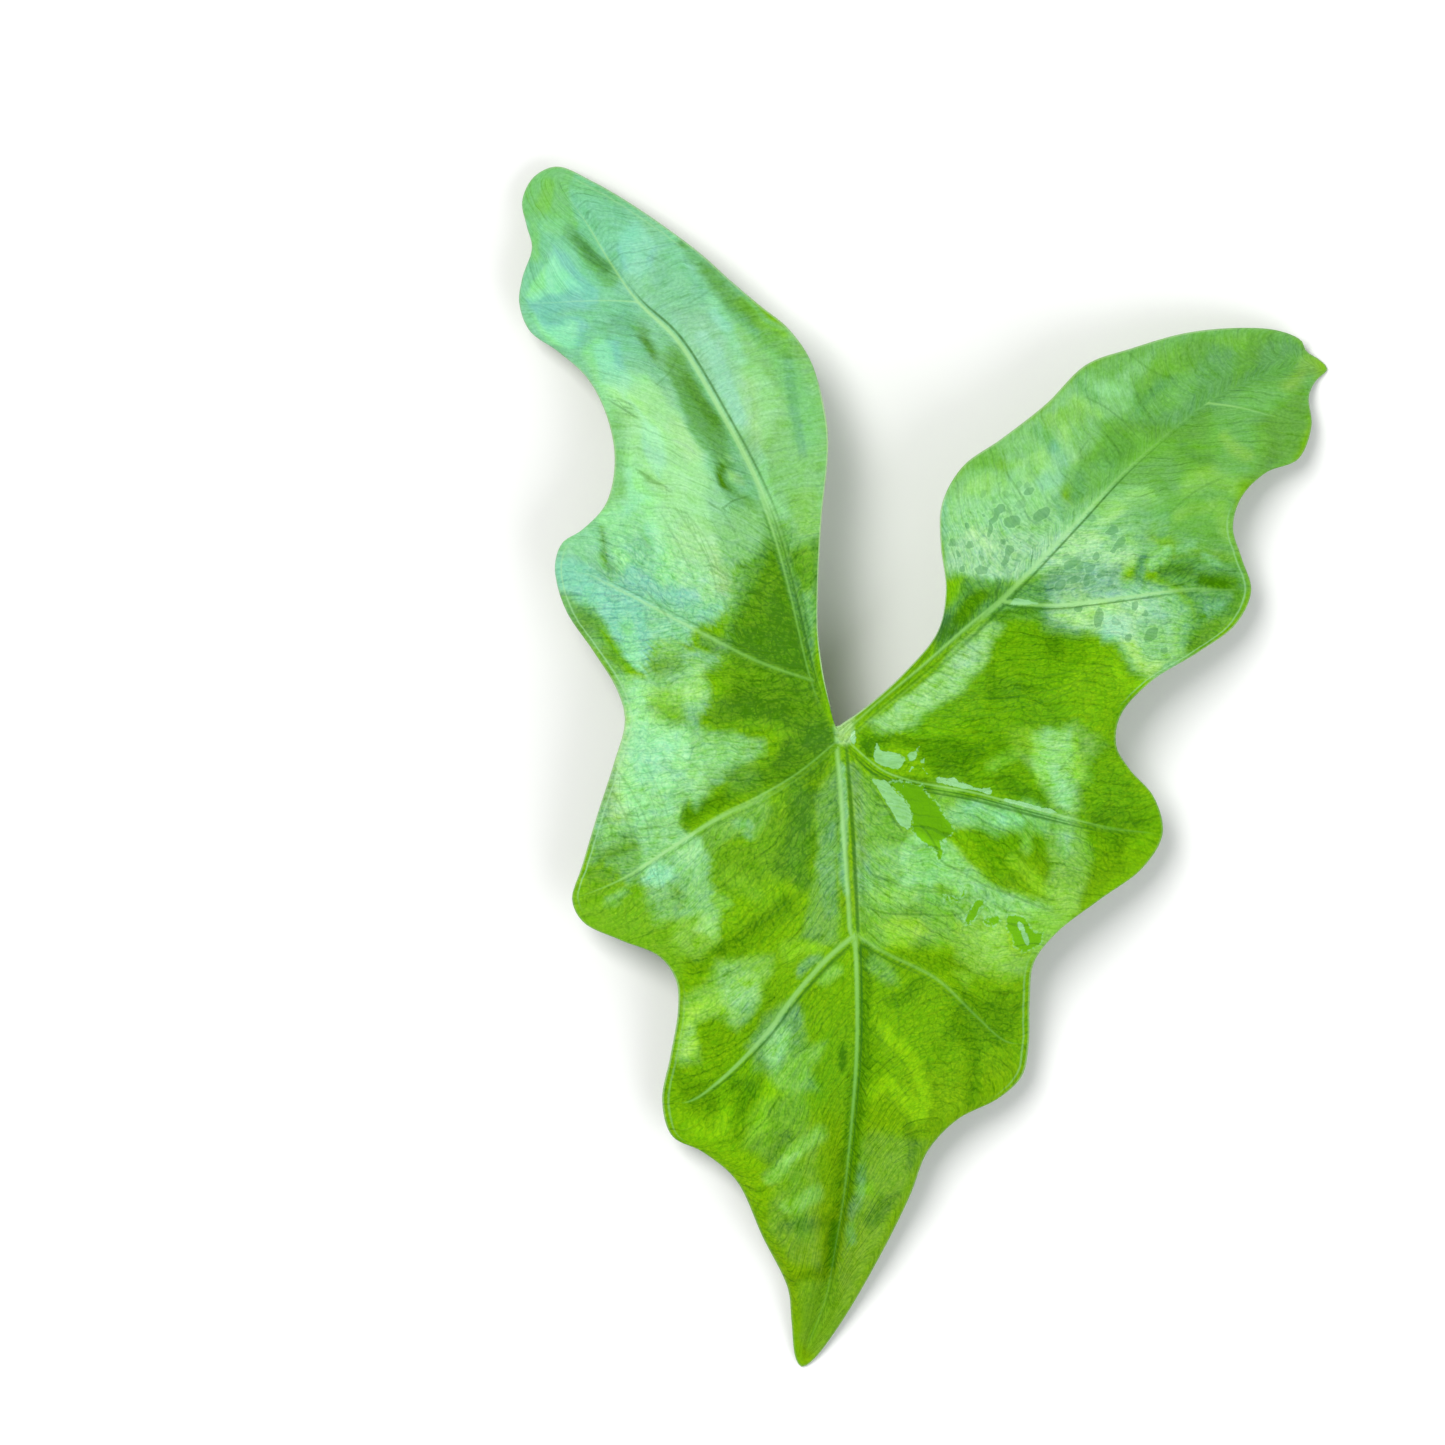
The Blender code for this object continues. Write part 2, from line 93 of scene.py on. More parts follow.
# %% The margin, in order round the leaf
MARGIN = [
    [(-1.6, 3.4, 31), (-3.2, 9.2, 31.7)],
    [(-4.9, 17.2, 32.3), (-6.1, 27, 32.8), (-6.1, 37.5, 33), (-5.2, 55, 31.6), (-3.5, 73.8, 28.4),
     (-4.5, 83, 26.2), (-8, 95, 22.8), (-13.6, 103, 20.4), (-20.5, 108.6, 18.6), (-28, 115, 16.8)],
    [(-35.5, 121.8, 15), (-50.5, 132.8, 11.6), (-63, 140.3, 8.2)],
    [(-71.5, 143.8, 5.8), (-77.2, 141.2, 5.4), (-80.1, 135.2, 6.6), (-79, 129, 9), (-77.6, 123.2, 11),
     (-80, 115.8, 10.6)],
    [(-80.8, 109.5, 9.4), (-78.2, 102.5, 9.8), (-71, 97.2, 12.4), (-63.5, 90.2, 16.4), (-58.5, 80, 21),
     (-56.8, 69.2, 24), (-59, 59, 23.6), (-65, 52.5, 20.6), (-70, 49.2, 18)],
    [(-71.8, 43.2, 16.4), (-69.2, 32.8, 18.6), (-62, 22, 22.6), (-56.2, 12.5, 25.8), (-54.2, 5, 26.6),
     (-57, -5.8, 25), (-61.2, -18.8, 21.2), (-65, -31.5, 16.8)],
    [(-67.5, -40, 14.4), (-64.8, -45.5, 14.6), (-55.5, -50, 17.6), (-45.5, -54.2, 21), (-41.5, -60, 21.4),
     (-41, -67.5, 19.4), (-43, -79.5, 14.6)],
    [(-45, -90.5, 10.4), (-42.5, -99.2, 9.8), (-34.8, -103.2, 11.6), (-26.5, -110.2, 12.2),
     (-19.8, -124.5, 9.4), (-13.5, -137.5, 5.6), (-12.6, -145.5, 3.8), (-11.5, -155.2, 1)],
    [(-10, -157.4, 0.35), (-7.5, -156, 0.9), (-0.5, -146.8, 3.6), (9.5, -129.5, 8.6), (17, -114.2, 13),
     (21.5, -102.8, 15.8), (28.8, -95, 16.4), (39.5, -89.5, 13.4), (45.2, -84, 11.2)],
    [(46.8, -76.2, 11.4), (47, -65, 15.6), (48, -55.5, 20.2), (53.5, -48.2, 22.4), (64.5, -39.8, 20.4),
     (75.2, -32, 15.8)],
    [(80.3, -23.4, 13.2), (78.2, -14.5, 14.6), (71.8, -7.2, 19.4), (68.4, -1.2, 23.4), (69.5, 6.2, 25.4),
     (77, 14.5, 24.2), (89.5, 22.2, 19.4), (98.8, 29.2, 14.4)],
    [(102.5, 37.5, 12), (100.2, 45.2, 13.4), (97.8, 53.2, 16.4), (99.8, 60.5, 17.2), (106, 66.8, 14),
     (114.5, 70.5, 9.4)],
    [(117.8, 78.8, 6.6), (117.2, 86, 4.6), (119, 90, 1.8)],
    [(122, 93.2, 0.35), (120.2, 95.3, 1.2), (116.6, 97.6, 3.2), (115.3, 100.2, 5), (109.5, 102.6, 7.6),
     (99.5, 103.2, 11)],
    [(85.8, 101.8, 14.6), (72, 97.8, 17.8), (61, 93.8, 20.4), (50.8, 83.8, 24.4), (39.5, 75, 27.6),
     (30, 68.2, 29.4), (24.8, 58.8, 29.8)],
    [(24.5, 48.8, 29.6), (25.8, 37.5, 29.8), (23.8, 27.2, 30.6), (15.8, 17.2, 31.2), (7, 9.2, 31.4),
     (0.6, 4.6, 31)],
]
print("margin:", sum(len(part) for part in MARGIN), "points in", len(MARGIN), "fields")

# %% Smooth curves through the points
STEPS = 15


def smooth_line(points, closed=False, steps=STEPS):
    """A smooth curve through the points: a cubic on each span whose slopes at the two ends come from the
    neighbouring points, weighted by the square root of their distances. The points themselves are at
    every multiple of steps."""
    p = np.array(points, float)
    if closed:
        before, after, last = np.roll(p, 1, 0), np.roll(p, -1, 0), np.roll(p, -2, 0)
    else:
        whole = np.vstack([2 * p[0] - p[1], p, 2 * p[-1] - p[-2]])
        before, p, after, last = whole[:-3], whole[1:-2], whole[2:-1], whole[3:]
    gap_in, gap, gap_out = (np.sqrt(np.linalg.norm(b - a, axis=1))[:, None, None]
                            for a, b in ((before, p), (p, after), (after, last)))
    before, a, b, last = (q[:, None, :] for q in (before, p, after, last))
    slope_a = (b - a) + gap * ((a - before) / gap_in - (b - before) / (gap_in + gap))
    slope_b = (b - a) + gap * ((last - b) / gap_out - (last - a) / (gap + gap_out))
    t = np.linspace(0, 1, steps, endpoint=False)[None, :, None]
    line = ((2 * t**3 - 3 * t**2 + 1) * a + (t**3 - 2 * t**2 + t) * slope_a
            + (3 * t**2 - 2 * t**3) * b + (t**3 - t**2) * slope_b).reshape(-1, p.shape[1])
    return np.vstack([line, line[:1] if closed else whole[-2]])


def run_of(line):
    """The distance along a line at each of its points."""
    return np.append(0, np.cumsum(np.linalg.norm(np.diff(line, axis=0), axis=1)))


def along(line, fraction):
    """Points at the given fractions of a line's length."""
    run = run_of(line)
    return np.stack([np.interp(fraction, run / run[-1], line[:, k]) for k in range(line.shape[1])], -1)


def smoothstep(low, high, value):
    """0 below low, 1 above high, and three t squared less two t cubed between them."""
    t = np.clip((value - low) / (high - low), 0, 1)
    return t * t * (3 - 2 * t)


MAIN = {"mid": smooth_line(MIDRIB), "left": smooth_line(LEFT_RIB), "right": smooth_line(RIGHT_RIB)}
edge_line = smooth_line(sum(MARGIN, []), closed=True)
edge_starts = np.cumsum([0] + [len(part) for part in MARGIN]) * STEPS
print("outline in mm:", np.ptp(edge_line, axis=0).round(1))

# %% [markdown]
# A field is one patch of the sheet: it lies between a stretch of a main vein, its spine, and a stretch of
# the margin, and a side vein or a rung closes it at each end. Sixteen of them cover the leaf, in the
# margin's order. Fields that share a rung are one stretch of tissue, so the fine grain runs on across it.

# %% The fields of the sheet
SPINES = {"left_1": ("left", 0, 2, 46), "left_2": ("left", 2, 8, 74), "left_3": ("left", 8, 11, 40),
          "mid_1": ("mid", 0, 3, 58), "mid_2": ("mid", 3, 10, 80), "right_1": ("right", 0, 4, 58),
          "right_2": ("right", 4, 8, 52), "right_3": ("right", 8, 11, 32)}
# spine, whether it runs outwards, the side vein that starts the field, its rise, new stretch of tissue
FIELDS = [
    ("left_1", True, "", 0.2, True),
    ("left_2", True, "", 1.6, False),
    ("left_3", True, "", 1.4, False),
    ("left_3", False, "", 1.6, False),
    ("left_2", False, "left_tip_side", 4.0, True),
    ("left_1", False, "left_lobe_side", 4.2, True),
    ("mid_1", True, "left_base_side", 4.0, True),
    ("mid_2", True, "left_low_side", 3.0, True),
    ("mid_2", False, "", 3.0, False),
    ("mid_1", False, "right_low_side", 4.2, True),
    ("right_1", True, "right_base_side", 4.4, True),
    ("right_2", True, "right_lobe_side", 3.6, True),
    ("right_3", True, "right_tip_side", 1.2, True),
    ("right_3", False, "", 1.4, False),
    ("right_2", False, "", 2.2, False),
    ("right_1", False, "", 0.8, False),
]


def guide(root, end, side_vein):
    """A line across the sheet from a main vein to the margin: a side vein, or a straight rung. Its height
    goes from the root's to the end's as a third of t and two thirds of t squared, so it droops outwards."""
    flat = smooth_line([root[:2]] + SIDE_VEINS.get(side_vein, []) + [end[:2]])
    t = run_of(flat) / run_of(flat)[-1]
    return np.column_stack([flat, root[2] + (end[2] - root[2]) * (t + 2 * t * t) / 3])


def spine_of(number):
    """The stretch of a main vein that carries a field, in the direction in which the field runs."""
    vein, first, last, columns = SPINES[FIELDS[number][0]]
    line = MAIN[vein][first * STEPS:last * STEPS + 1]
    return line if FIELDS[number][1] else line[::-1]


guides = [guide(spine_of(n)[0], edge_line[edge_starts[n]], FIELDS[n][2]) for n in range(len(FIELDS))]
guides.append(guides[0])
print("fields:", len(FIELDS), "with", sum(1 for row in FIELDS if row[2]), "side veins")

# %% [markdown]
# Each field becomes a grid. The columns run from the spine to the margin and crowd together beside a side
# vein, and the rows crowd together beside the spine and at the margin, so that ribs and rim stay crisp.

# %% Where the columns and rows of a field lie
RIB_COLUMNS = 6         # columns beside a side vein
RIB_REACH = 3.6         # mm from the spine that the close rows cover
SIDE_REACH = 1.9        # mm from a side vein that the close columns cover
RIM = np.array([0.5, 0.22, 0.06, 0.0])  # mm from the margin of the last rows
CROWDING = 1.35         # the power by which places crowd together towards a vein
CLOSE_FROM, BENT_FROM = 0.2, 0.12       # shares of the way out where the columns have closed up
MOST_RIB, MOST_RIM = 0.4, 0.2           # of a narrow field's reach that the close rows may take


def column_places(count, width_t, start_vein, end_vein, t):
    """The share of the way from one guide to the next at each column and row: even on the spine, and a
    few columns' depth further out the first and last ones crowd towards a side vein."""
    k = np.arange(count + 1)[:, None]
    even = RIB_COLUMNS / count
    close = even + (np.minimum(SIDE_REACH / width_t, even) - even) * smoothstep(0, CLOSE_FROM, t)[None, :]
    low = close if start_vein else np.full_like(close, even)
    high = close if end_vein else np.full_like(close, even)
    start = low * (k / RIB_COLUMNS)**(CROWDING if start_vein else 1)
    end = 1 - high * ((count - k) / RIB_COLUMNS)**(CROWDING if end_vein else 1)
    middle = low + (1 - low - high) * (k - RIB_COLUMNS) / (count - 2 * RIB_COLUMNS)
    bent = np.where(k < RIB_COLUMNS, start, np.where(k > count - RIB_COLUMNS, end, middle))
    return np.clip(k / count + (bent - k / count) * smoothstep(0, BENT_FROM, t)[None, :], 0, 1)


def row_places(reach, rib_rows, body_rows):
    """The share of the way from spine to margin at each row, for each column's reach in mm."""
    reach = reach[:, None]
    near = np.minimum(RIB_REACH / reach, MOST_RIB)
    rib = near * (np.arange(rib_rows) / rib_rows)**CROWDING
    rim = 1 - np.minimum(RIM / reach, MOST_RIM * RIM / RIM[0])
    body = near + (rim[:, :1] - near) * np.arange(body_rows) / body_rows
    return np.hstack([rib, body, rim])


print("rim rows at", RIM, "mm from the margin")

# %% The surface of one field


def field(number, rib_rows, body_rows):
    """One field as a grid of points, a Coons patch: the blend of spine and margin, plus the blend of the
    two guides, less the blend of the four corners. The sheet rises between its veins as the sine of pi u
    times the sine of pi t. Returns the points, t, and each column's reach in mm."""
    spine_name, _, start_vein, rise, _ = FIELDS[number]
    end_vein = FIELDS[(number + 1) % len(FIELDS)][2]
    columns = SPINES[spine_name][3]
    spine = spine_of(number)
    edge = edge_line[edge_starts[number]:edge_starts[number + 1] + 1]
    first, last = guides[number], guides[number + 1]
    level = np.linspace(0, 1, rib_rows + body_rows + len(RIM))
    width = run_of(spine)[-1] + (run_of(edge)[-1] - run_of(spine)[-1]) * level
    u = column_places(columns, width[None, :], start_vein, end_vein, level)
    reach = np.linalg.norm(along(edge, u[:, -1]) - along(spine, u[:, -1]), axis=-1)
    t = row_places(reach, rib_rows, body_rows)
    u3, t3 = u[..., None], t[..., None]
    point = ((1 - t3) * along(spine, u) + t3 * along(edge, u)
             + (1 - u3) * along(first, t) + u3 * along(last, t)
             - (1 - u3) * (1 - t3) * spine[0] - u3 * (1 - t3) * spine[-1]
             - (1 - u3) * t3 * edge[0] - u3 * t3 * edge[-1])
    point[..., 2] += rise * np.sin(math.pi * u) * np.sin(math.pi * t)
    return point, t, np.broadcast_to(reach[:, None], t.shape)


def grain_of(point, fresh, carried):
    """Two lengths in mm that follow the tissue: across the field, summed along each row from the field's
    start or from the end of the field before it, and outwards, summed along each column."""
    across = np.vstack([np.zeros((1, point.shape[1])),
                        np.cumsum(np.linalg.norm(np.diff(point, axis=0), axis=-1), axis=0)])
    outwards = np.hstack([np.zeros((point.shape[0], 1)),
                          np.cumsum(np.linalg.norm(np.diff(point, axis=1), axis=-1), axis=1)])
    return across + (0 if fresh else carried), outwards


GRAIN_APART = 137.0     # mm between the grain maps of two tissues, so that no pattern comes twice
T, REACH, ACROSS, OUTWARDS = 3, 4, 5, 6     # rows of a laid out face; the first three are x, y and z
UPPER_ROWS = (13, 50)
LOWER_ROWS = (9, 20)
columns = 2 * sum(row[3] for row in SPINES.values())
print("upper face:", columns, "columns of", sum(UPPER_ROWS) + len(RIM), "rows")

# %% Lay the grids out as one list of points for each face


def lay_out(rows):
    """All the fields' grids end to end: points, t, reach, grain, and the faces as four indices each. Also
    the pairs of points that follow each other along the margin."""
    parts, quads, rims, offset, carried, tissue = [], [], [], 0, 0, 0
    for number in range(len(FIELDS)):
        fresh, next_fresh = FIELDS[number][4], FIELDS[(number + 1) % len(FIELDS)][4]
        tissue += fresh
        point, t, reach = field(number, *rows)
        across, outwards = grain_of(point, fresh, carried)
        carried = across[-1]
        if fresh and next_fresh:
            across = across - across[-1] / 2
        index = offset + np.arange(t.size).reshape(t.shape)
        corners = [index[:-1, :-1], index[:-1, 1:], index[1:, 1:], index[1:, :-1]]
        quads.append(np.stack(corners, -1).reshape(-1, 4))
        rims.append(np.stack([index[:-1, -1], index[1:, -1]], -1))
        parts.append(np.column_stack([point.reshape(-1, 3), t.ravel(), reach.ravel(),
                                      across.ravel() + GRAIN_APART * tissue, outwards.ravel()]))
        offset += t.size
    return np.vstack(parts).T, np.vstack(quads), np.vstack(rims)


upper, upper_quads, rim_pairs = lay_out(UPPER_ROWS)
lower, lower_quads, lower_rim_pairs = lay_out(LOWER_ROWS)
print("points above and below:", upper.shape[1], lower.shape[1])

# %% [markdown]
# Veins. On the real leaf each one is a rib: a low ridge on the upper face and a strong one underneath. The
# wide ones have two pale edges with a groove between them, and light from one side leaves a thin shadow
# beside them. A table per vein says how wide it is and how pale or dark it looks along its way. That shadow
# is painted into the colour, and the paleness is the rib's own pale colour with a painted highlight on the
# edge that faces the light.

# %% How each vein looks along its way
# share of the way, half width in mm, groove, paleness of the left edge, of the right edge and of the middle,
# with a painted highlight in it, and darkness as painted shadow on the left, painted shade in the crease and
# painted shadow on the right; left and right are as one walks outwards
VEINS = {
    "mid": [(0, 2.3, 1, 0.1, 0.7, 0.1, 0.3, 0.6, 0.2), (0.1, 2.2, 1, 0.14, 1, 0.1, 0.3, 1, 0.3),
        (0.29, 1.9, 1, 0.2, 0.9, 0.14, 0.4, 0.95, 0.3), (0.325, 0.95, 0, 0, 0, 0.95, 0.9, 0, 0.2),
        (0.55, 0.8, 0, 0, 0, 0.85, 0.8, 0, 0.2), (0.72, 0.62, 0, 0, 0, 0.4, 0.6, 0, 0.15),
        (1, 0.4, 0, 0, 0, 0.25, 0.5, 0, 0.1)],
    "left": [(0, 1.3, 0, 0, 0, 0, 0.15, 0, 0.15), (0.1, 1.2, 0.6, 0.15, 0.1, 0.05, 0.3, 0, 0.3),
        (0.2, 1.3, 1, 0.5, 0.25, 0.05, 0.4, 0.5, 0.3), (0.36, 1.2, 0.7, 0.6, 0.3, 0.25, 0.4, 0.5, 0.4),
        (0.45, 1.05, 0, 0, 0, 1, 0.2, 0, 0.7), (0.68, 0.9, 0, 0, 0, 0.9, 0.2, 0, 1),
        (0.76, 0.65, 0, 0, 0, 0.6, 0.1, 0, 0.4), (0.88, 0.5, 0, 0, 0, 0.5, 0.3, 0, 0.1),
        (1, 0.3, 0, 0, 0, 0.15, 0.1, 0, 0)],
    "right": [(0, 1.6, 1, 0.4, 0.25, 0, 0.1, 0.35, 0.1), (0.12, 1.6, 1, 0.45, 0.3, 0, 0.1, 0.5, 0.1),
        (0.26, 1.5, 1, 0.85, 0.05, 0.1, 0.15, 0.35, 0.6), (0.37, 1, 0.3, 0.3, 0, 0.9, 0.15, 0, 0.7),
        (0.5, 0.75, 0, 0, 0, 0.55, 0.1, 0, 1), (0.58, 0.65, 0, 0, 0, 0.4, 0.1, 0, 0.5),
        (0.75, 0.5, 0, 0, 0, 0.2, 0.1, 0, 0.3), (1, 0.35, 0, 0, 0, 0.15, 0.1, 0, 0.1)],
    "left_tip_side": [(0, 0.5, 0, 0, 0, 0.6, 0.3, 0, 0.1), (1, 0.3, 0, 0, 0, 0.2, 0.1, 0, 0.1)],
    "left_lobe_side": [(0, 0.9, 0, 0, 0, 0.45, 0.1, 0, 0.2), (0.4, 0.95, 0, 0, 0, 0.65, 0.3, 0, 0.5),
        (0.65, 0.7, 0, 0, 0, 0.55, 0.3, 0, 0.5), (1, 0.25, 0, 0, 0, 0.1, 0.1, 0, 0.1)],
    "left_base_side": [(0, 1, 0.6, 0.2, 0.45, 0.1, 0.3, 0.1, 0.4),
        (0.3, 1, 0.5, 0.3, 0.6, 0.25, 0.4, 0, 0.5), (0.55, 0.9, 0, 0, 0, 0.95, 0.5, 0, 0.3),
        (0.8, 0.55, 0, 0, 0, 0.8, 0.5, 0, 0.2), (1, 0.25, 0, 0, 0, 0.1, 0.1, 0, 0.1)],
    "left_low_side": [(0, 1.1, 0, 0, 0, 0.8, 0.9, 0, 0.1), (0.35, 1.05, 0, 0, 0, 1, 0.9, 0, 0.1),
        (0.6, 0.75, 0, 0, 0, 1, 0.8, 0, 0.2), (0.8, 0.5, 0, 0, 0, 0.7, 0.4, 0, 0.2),
        (0.9, 0.3, 0, 0, 0, 0, 0.1, 0, 0), (1, 0.25, 0, 0, 0, 0, 0.1, 0, 0)],
    "right_low_side": [(0, 1.1, 0, 0, 0, 0.45, 0.1, 0, 0.8), (0.4, 0.9, 0, 0, 0, 0.45, 0.1, 0, 0.5),
        (0.8, 0.5, 0, 0, 0, 0.4, 0.1, 0, 0.3), (1, 0.25, 0, 0, 0, 0, 0.1, 0, 0)],
    "right_base_side": [(0, 1, 1, 0.6, 0, 0, 0, 0.5, 0.8), (0.25, 1, 1, 0.8, 0, 0, 0, 0.8, 0.9),
        (0.6, 0.9, 1, 1, 0, 0, 0.1, 0.8, 0.9), (0.74, 0.7, 0.2, 0.2, 0, 0.4, 0.1, 0.1, 0.4),
        (0.9, 0.4, 0, 0, 0, 0.3, 0.1, 0, 0.2), (1, 0.2, 0, 0, 0, 0, 0.1, 0, 0)],
    "right_lobe_side": [(0, 0.8, 0, 0, 0, 1, 0.1, 0, 0.3), (0.15, 0.75, 0, 0, 0, 1, 0.1, 0, 0.9),
        (0.55, 0.65, 0, 0, 0, 0.8, 0.1, 0, 0.8), (0.65, 0.7, 0.5, 0.5, 0.3, 0.4, 0.1, 0.3, 0.3),
        (0.85, 0.5, 0, 0, 0, 0.45, 0.3, 0, 0.2), (1, 0.2, 0, 0, 0, 0.1, 0.1, 0, 0.1)],
    "right_tip_side": [(0, 0.5, 0, 0, 0, 0.9, 0.1, 0, 0.3), (0.5, 0.4, 0, 0, 0, 0.5, 0.1, 0, 0.3),
        (1, 0.2, 0, 0, 0, 0.1, 0.1, 0, 0.1)],
}
print("veins:", len(VEINS))

# %% Distance to a line, and which vein is nearest
FAR_OFF = 99.0      # half widths, more than any point is away from its vein


def nearest_on(line, x, y):
    """For each point its distance to a line in the plane, positive on the left of it, and the share of the
    line where it is closest. The sign is that of the cross product of the line's step and the offset."""
    a = line[:-1, :2]
    step = line[1:, :2] - a
    rel_x = x[:, None] - a[:, 0]
    rel_y = y[:, None] - a[:, 1]
    f = np.clip((rel_x * step[:, 0] + rel_y * step[:, 1]) / np.maximum((step**2).sum(-1), 1e-9), 0, 1)
    gap = np.hypot(rel_x - f * step[:, 0], rel_y - f * step[:, 1])
    best = gap.argmin(1)
    pick = np.arange(len(x))
    side = step[best, 0] * rel_y[pick, best] - step[best, 1] * rel_x[pick, best]
    return gap[pick, best] * np.where(side < 0, -1, 1), (best + f[pick, best]) / len(a)


def vein_map(x, y):
    """For each point the rows of its vein's table at the share where the vein is closest, with the signed
    distance in half widths and the distance in mm in front. The nearest vein in half widths is taken."""
    lines = dict(MAIN)
    lines.update({FIELDS[n][2]: guides[n] for n in range(len(FIELDS)) if FIELDS[n][2]})
    best = np.full((10, len(x)), FAR_OFF)
    for name, line in lines.items():
        table = np.array(VEINS[name])
        gap, share = nearest_on(line[::3], x, y)
        looks = [np.interp(share, table[:, 0], table[:, k]) for k in range(1, 9)]
        found = np.array([gap / looks[0], np.abs(gap)] + looks)
        best = np.where(np.abs(found[0]) < np.abs(best[0]), found, best)
    return best


veins_above = vein_map(*upper[:2])
veins_below = vein_map(*lower[:2])
print("points within a rib:", int((np.abs(veins_above[0]) < 1).sum()))

# %% The shape and the paint of a rib
# heights, and places from the rib's middle, all in its half widths
RIDGE, EDGE_RIDGE, GROOVE_FLOOR, TROUGH = 0.30, 0.17, 0.03, 0.10
BAR_BELOW, FOOT_BELOW = 0.85, 0.12
EDGE_AT, SHADE_AT, CREASE_AT = 0.68, 1.25, 0.38


def bell(value, centre, width):
    """e to the minus square of the distance from the centre in widths."""
    return np.exp(-((value - centre) / width)**2)


def rib_above(veins):
    """Height of a rib on the upper face: one rounded ridge, or two ridges either side of a groove, with a
    shallow trough just outside. All are bells."""
    across, _, half, groove = veins[:4]
    single = RIDGE * half * bell(across, 0, 0.62)
    double = (EDGE_RIDGE * half * (bell(across, 0.66, 0.27) + bell(across, -0.66, 0.27))
              + GROOVE_FLOOR * half * bell(across, 0, 0.3))
    trough = TROUGH * half * bell(np.abs(across), 1.35, 0.34)
    return single + (double - single) * groove - trough


def rib_below(veins):
    """Depth of a rib on the lower face: a round bar of nearly its half width."""
    across, _, half = veins[:3]
    bar = BAR_BELOW * half * np.sqrt(np.clip(1 - across**2, 0, 1))
    return bar + FOOT_BELOW * half * bell(np.abs(across), 1, 0.32)


def rib_paint(veins):
    """How pale and how dark the upper face is near a rib: bells on the two edges and the middle. The dark is
    painted shadow and shade; the pale is the rib's colour with a painted highlight.
    """
    across, _, _, groove, left, right, middle, dark_left, crease, dark_right = veins
    pale = (left * bell(across, EDGE_AT, 0.3) + right * bell(across, -EDGE_AT, 0.3)
            + middle * bell(across, 0, 0.62 - 0.14 * groove))
    crease_side = np.where(left > right, -CREASE_AT, CREASE_AT)
    dark = (dark_left * bell(across, SHADE_AT, 0.36) + dark_right * bell(across, -SHADE_AT, 0.36)
            + crease * bell(across, crease_side, 0.26))
    return np.clip(pale, 0, 1), np.clip(dark, 0, 1)


vein_pale, vein_shadow = rib_paint(veins_above)
rib_sizes = rib_above(veins_above).max(), rib_below(veins_below).max()
print("ribs are up to %.2f mm high and %.2f mm deep" % rib_sizes)

# %% [markdown]
# Between the veins the sheet isn't smooth: it is slightly quilted and crinkled. Long soft waves and a few
# deeper dents, where the real one is puckered, are moved into the mesh. The finest net is left to the
# material's bump.

# %% Crinkles and dents
DENTS = [  # x, y, half length, half width, turn in degrees, height in mm
    (-48.6, 98.4, 5.4, 2, -65, -1.5), (-26.8, 66, 5.4, 3.6, 0, -1), (-25.4, 66, 2.4, 1.8, 0, 1.1),
    (-63, 125, 9, 2, -52, -0.9), (-59.2, 47.6, 3.8, 1, -75, -1.1), (-54.5, 46, 5, 1.6, -70, 0.6),
    (-61.6, 28, 3, 2.2, -50, -0.7), (-56.8, 21.2, 2.8, 2, -30, -0.7), (-44, 8, 5, 3.4, 0, 0.7),
    (-41.5, 21, 6, 2.6, 10, -0.6), (-39, 123.3, 2.8, 1.1, -38, -0.8), (-41.2, -38.5, 3.4, 1.1, 85, -0.7),
    (-52, -40, 4, 1.5, 80, -0.4), (-18, -92, 12, 2.6, 56, -0.6), (-13, -104, 12, 3, 62, 0.5),
    (12, -80, 12, 3, -62, 0.5), (24.5, -76, 11, 2.6, -80, -0.5), (33, -78, 10, 2.2, -88, -0.4),
    (47.5, 37, 4.2, 1.8, 20, -0.9), (83.5, 42, 4, 2.6, 0, -0.7), (92.5, 40, 4.4, 1.4, 0, -0.9),
    (75, 44, 4.5, 1.3, 85, -0.6), (79, 46, 4, 1.8, 60, 0.5), (61, 78.5, 7, 1.8, 132, 0.6),
    (55, 73, 7, 1.8, 132, 0.5), (58, 75.5, 7, 1.4, 132, -0.5), (70, 88, 7, 1.8, 125, 0.5),
    (66, 84, 6, 1.4, 140, -0.5), (80, 88, 7, 2, 120, -0.4), (55, -8, 9, 3, -72, 0.6),
    (48, -11, 6, 2, -60, -0.5), (51.5, -27, 7, 1.8, -85, -0.5), (-11, 78, 13, 2.4, 84, -0.6),
    (-46.5, 65, 5, 1, -28, -0.5), (-54, 83, 4.6, 1, -25, -0.5), (-27, -62, 8, 4, 75, 0.5),
    (-38, -74, 6, 2, 84, 0.5), (-17, -76, 8, 2.4, 72, 0.5), (-24, -83, 9, 1.8, 50, -0.5),
    (7.5, 2, 4, 1.5, 40, -0.3), (31, -57, 4, 2.6, 60, 0.4), (9, -58, 5, 2.4, -50, -0.4),
]
WAVES = np.geomspace(7, 22, 14)     # lengths in mm
WAVE_HEIGHT = 0.0075                # of the length
BEND, BEND_RATE = 0.8, 0.37         # how far and how often a crest curves
CALM_RIB, CALM_RIM = 7, 6           # mm from a vein and from the margin where they die down
CALM_AT_RIM = 0.35                  # how much of them the margin keeps
DENT_OFF = 2.5                      # mm from a vein within which a dent dies down


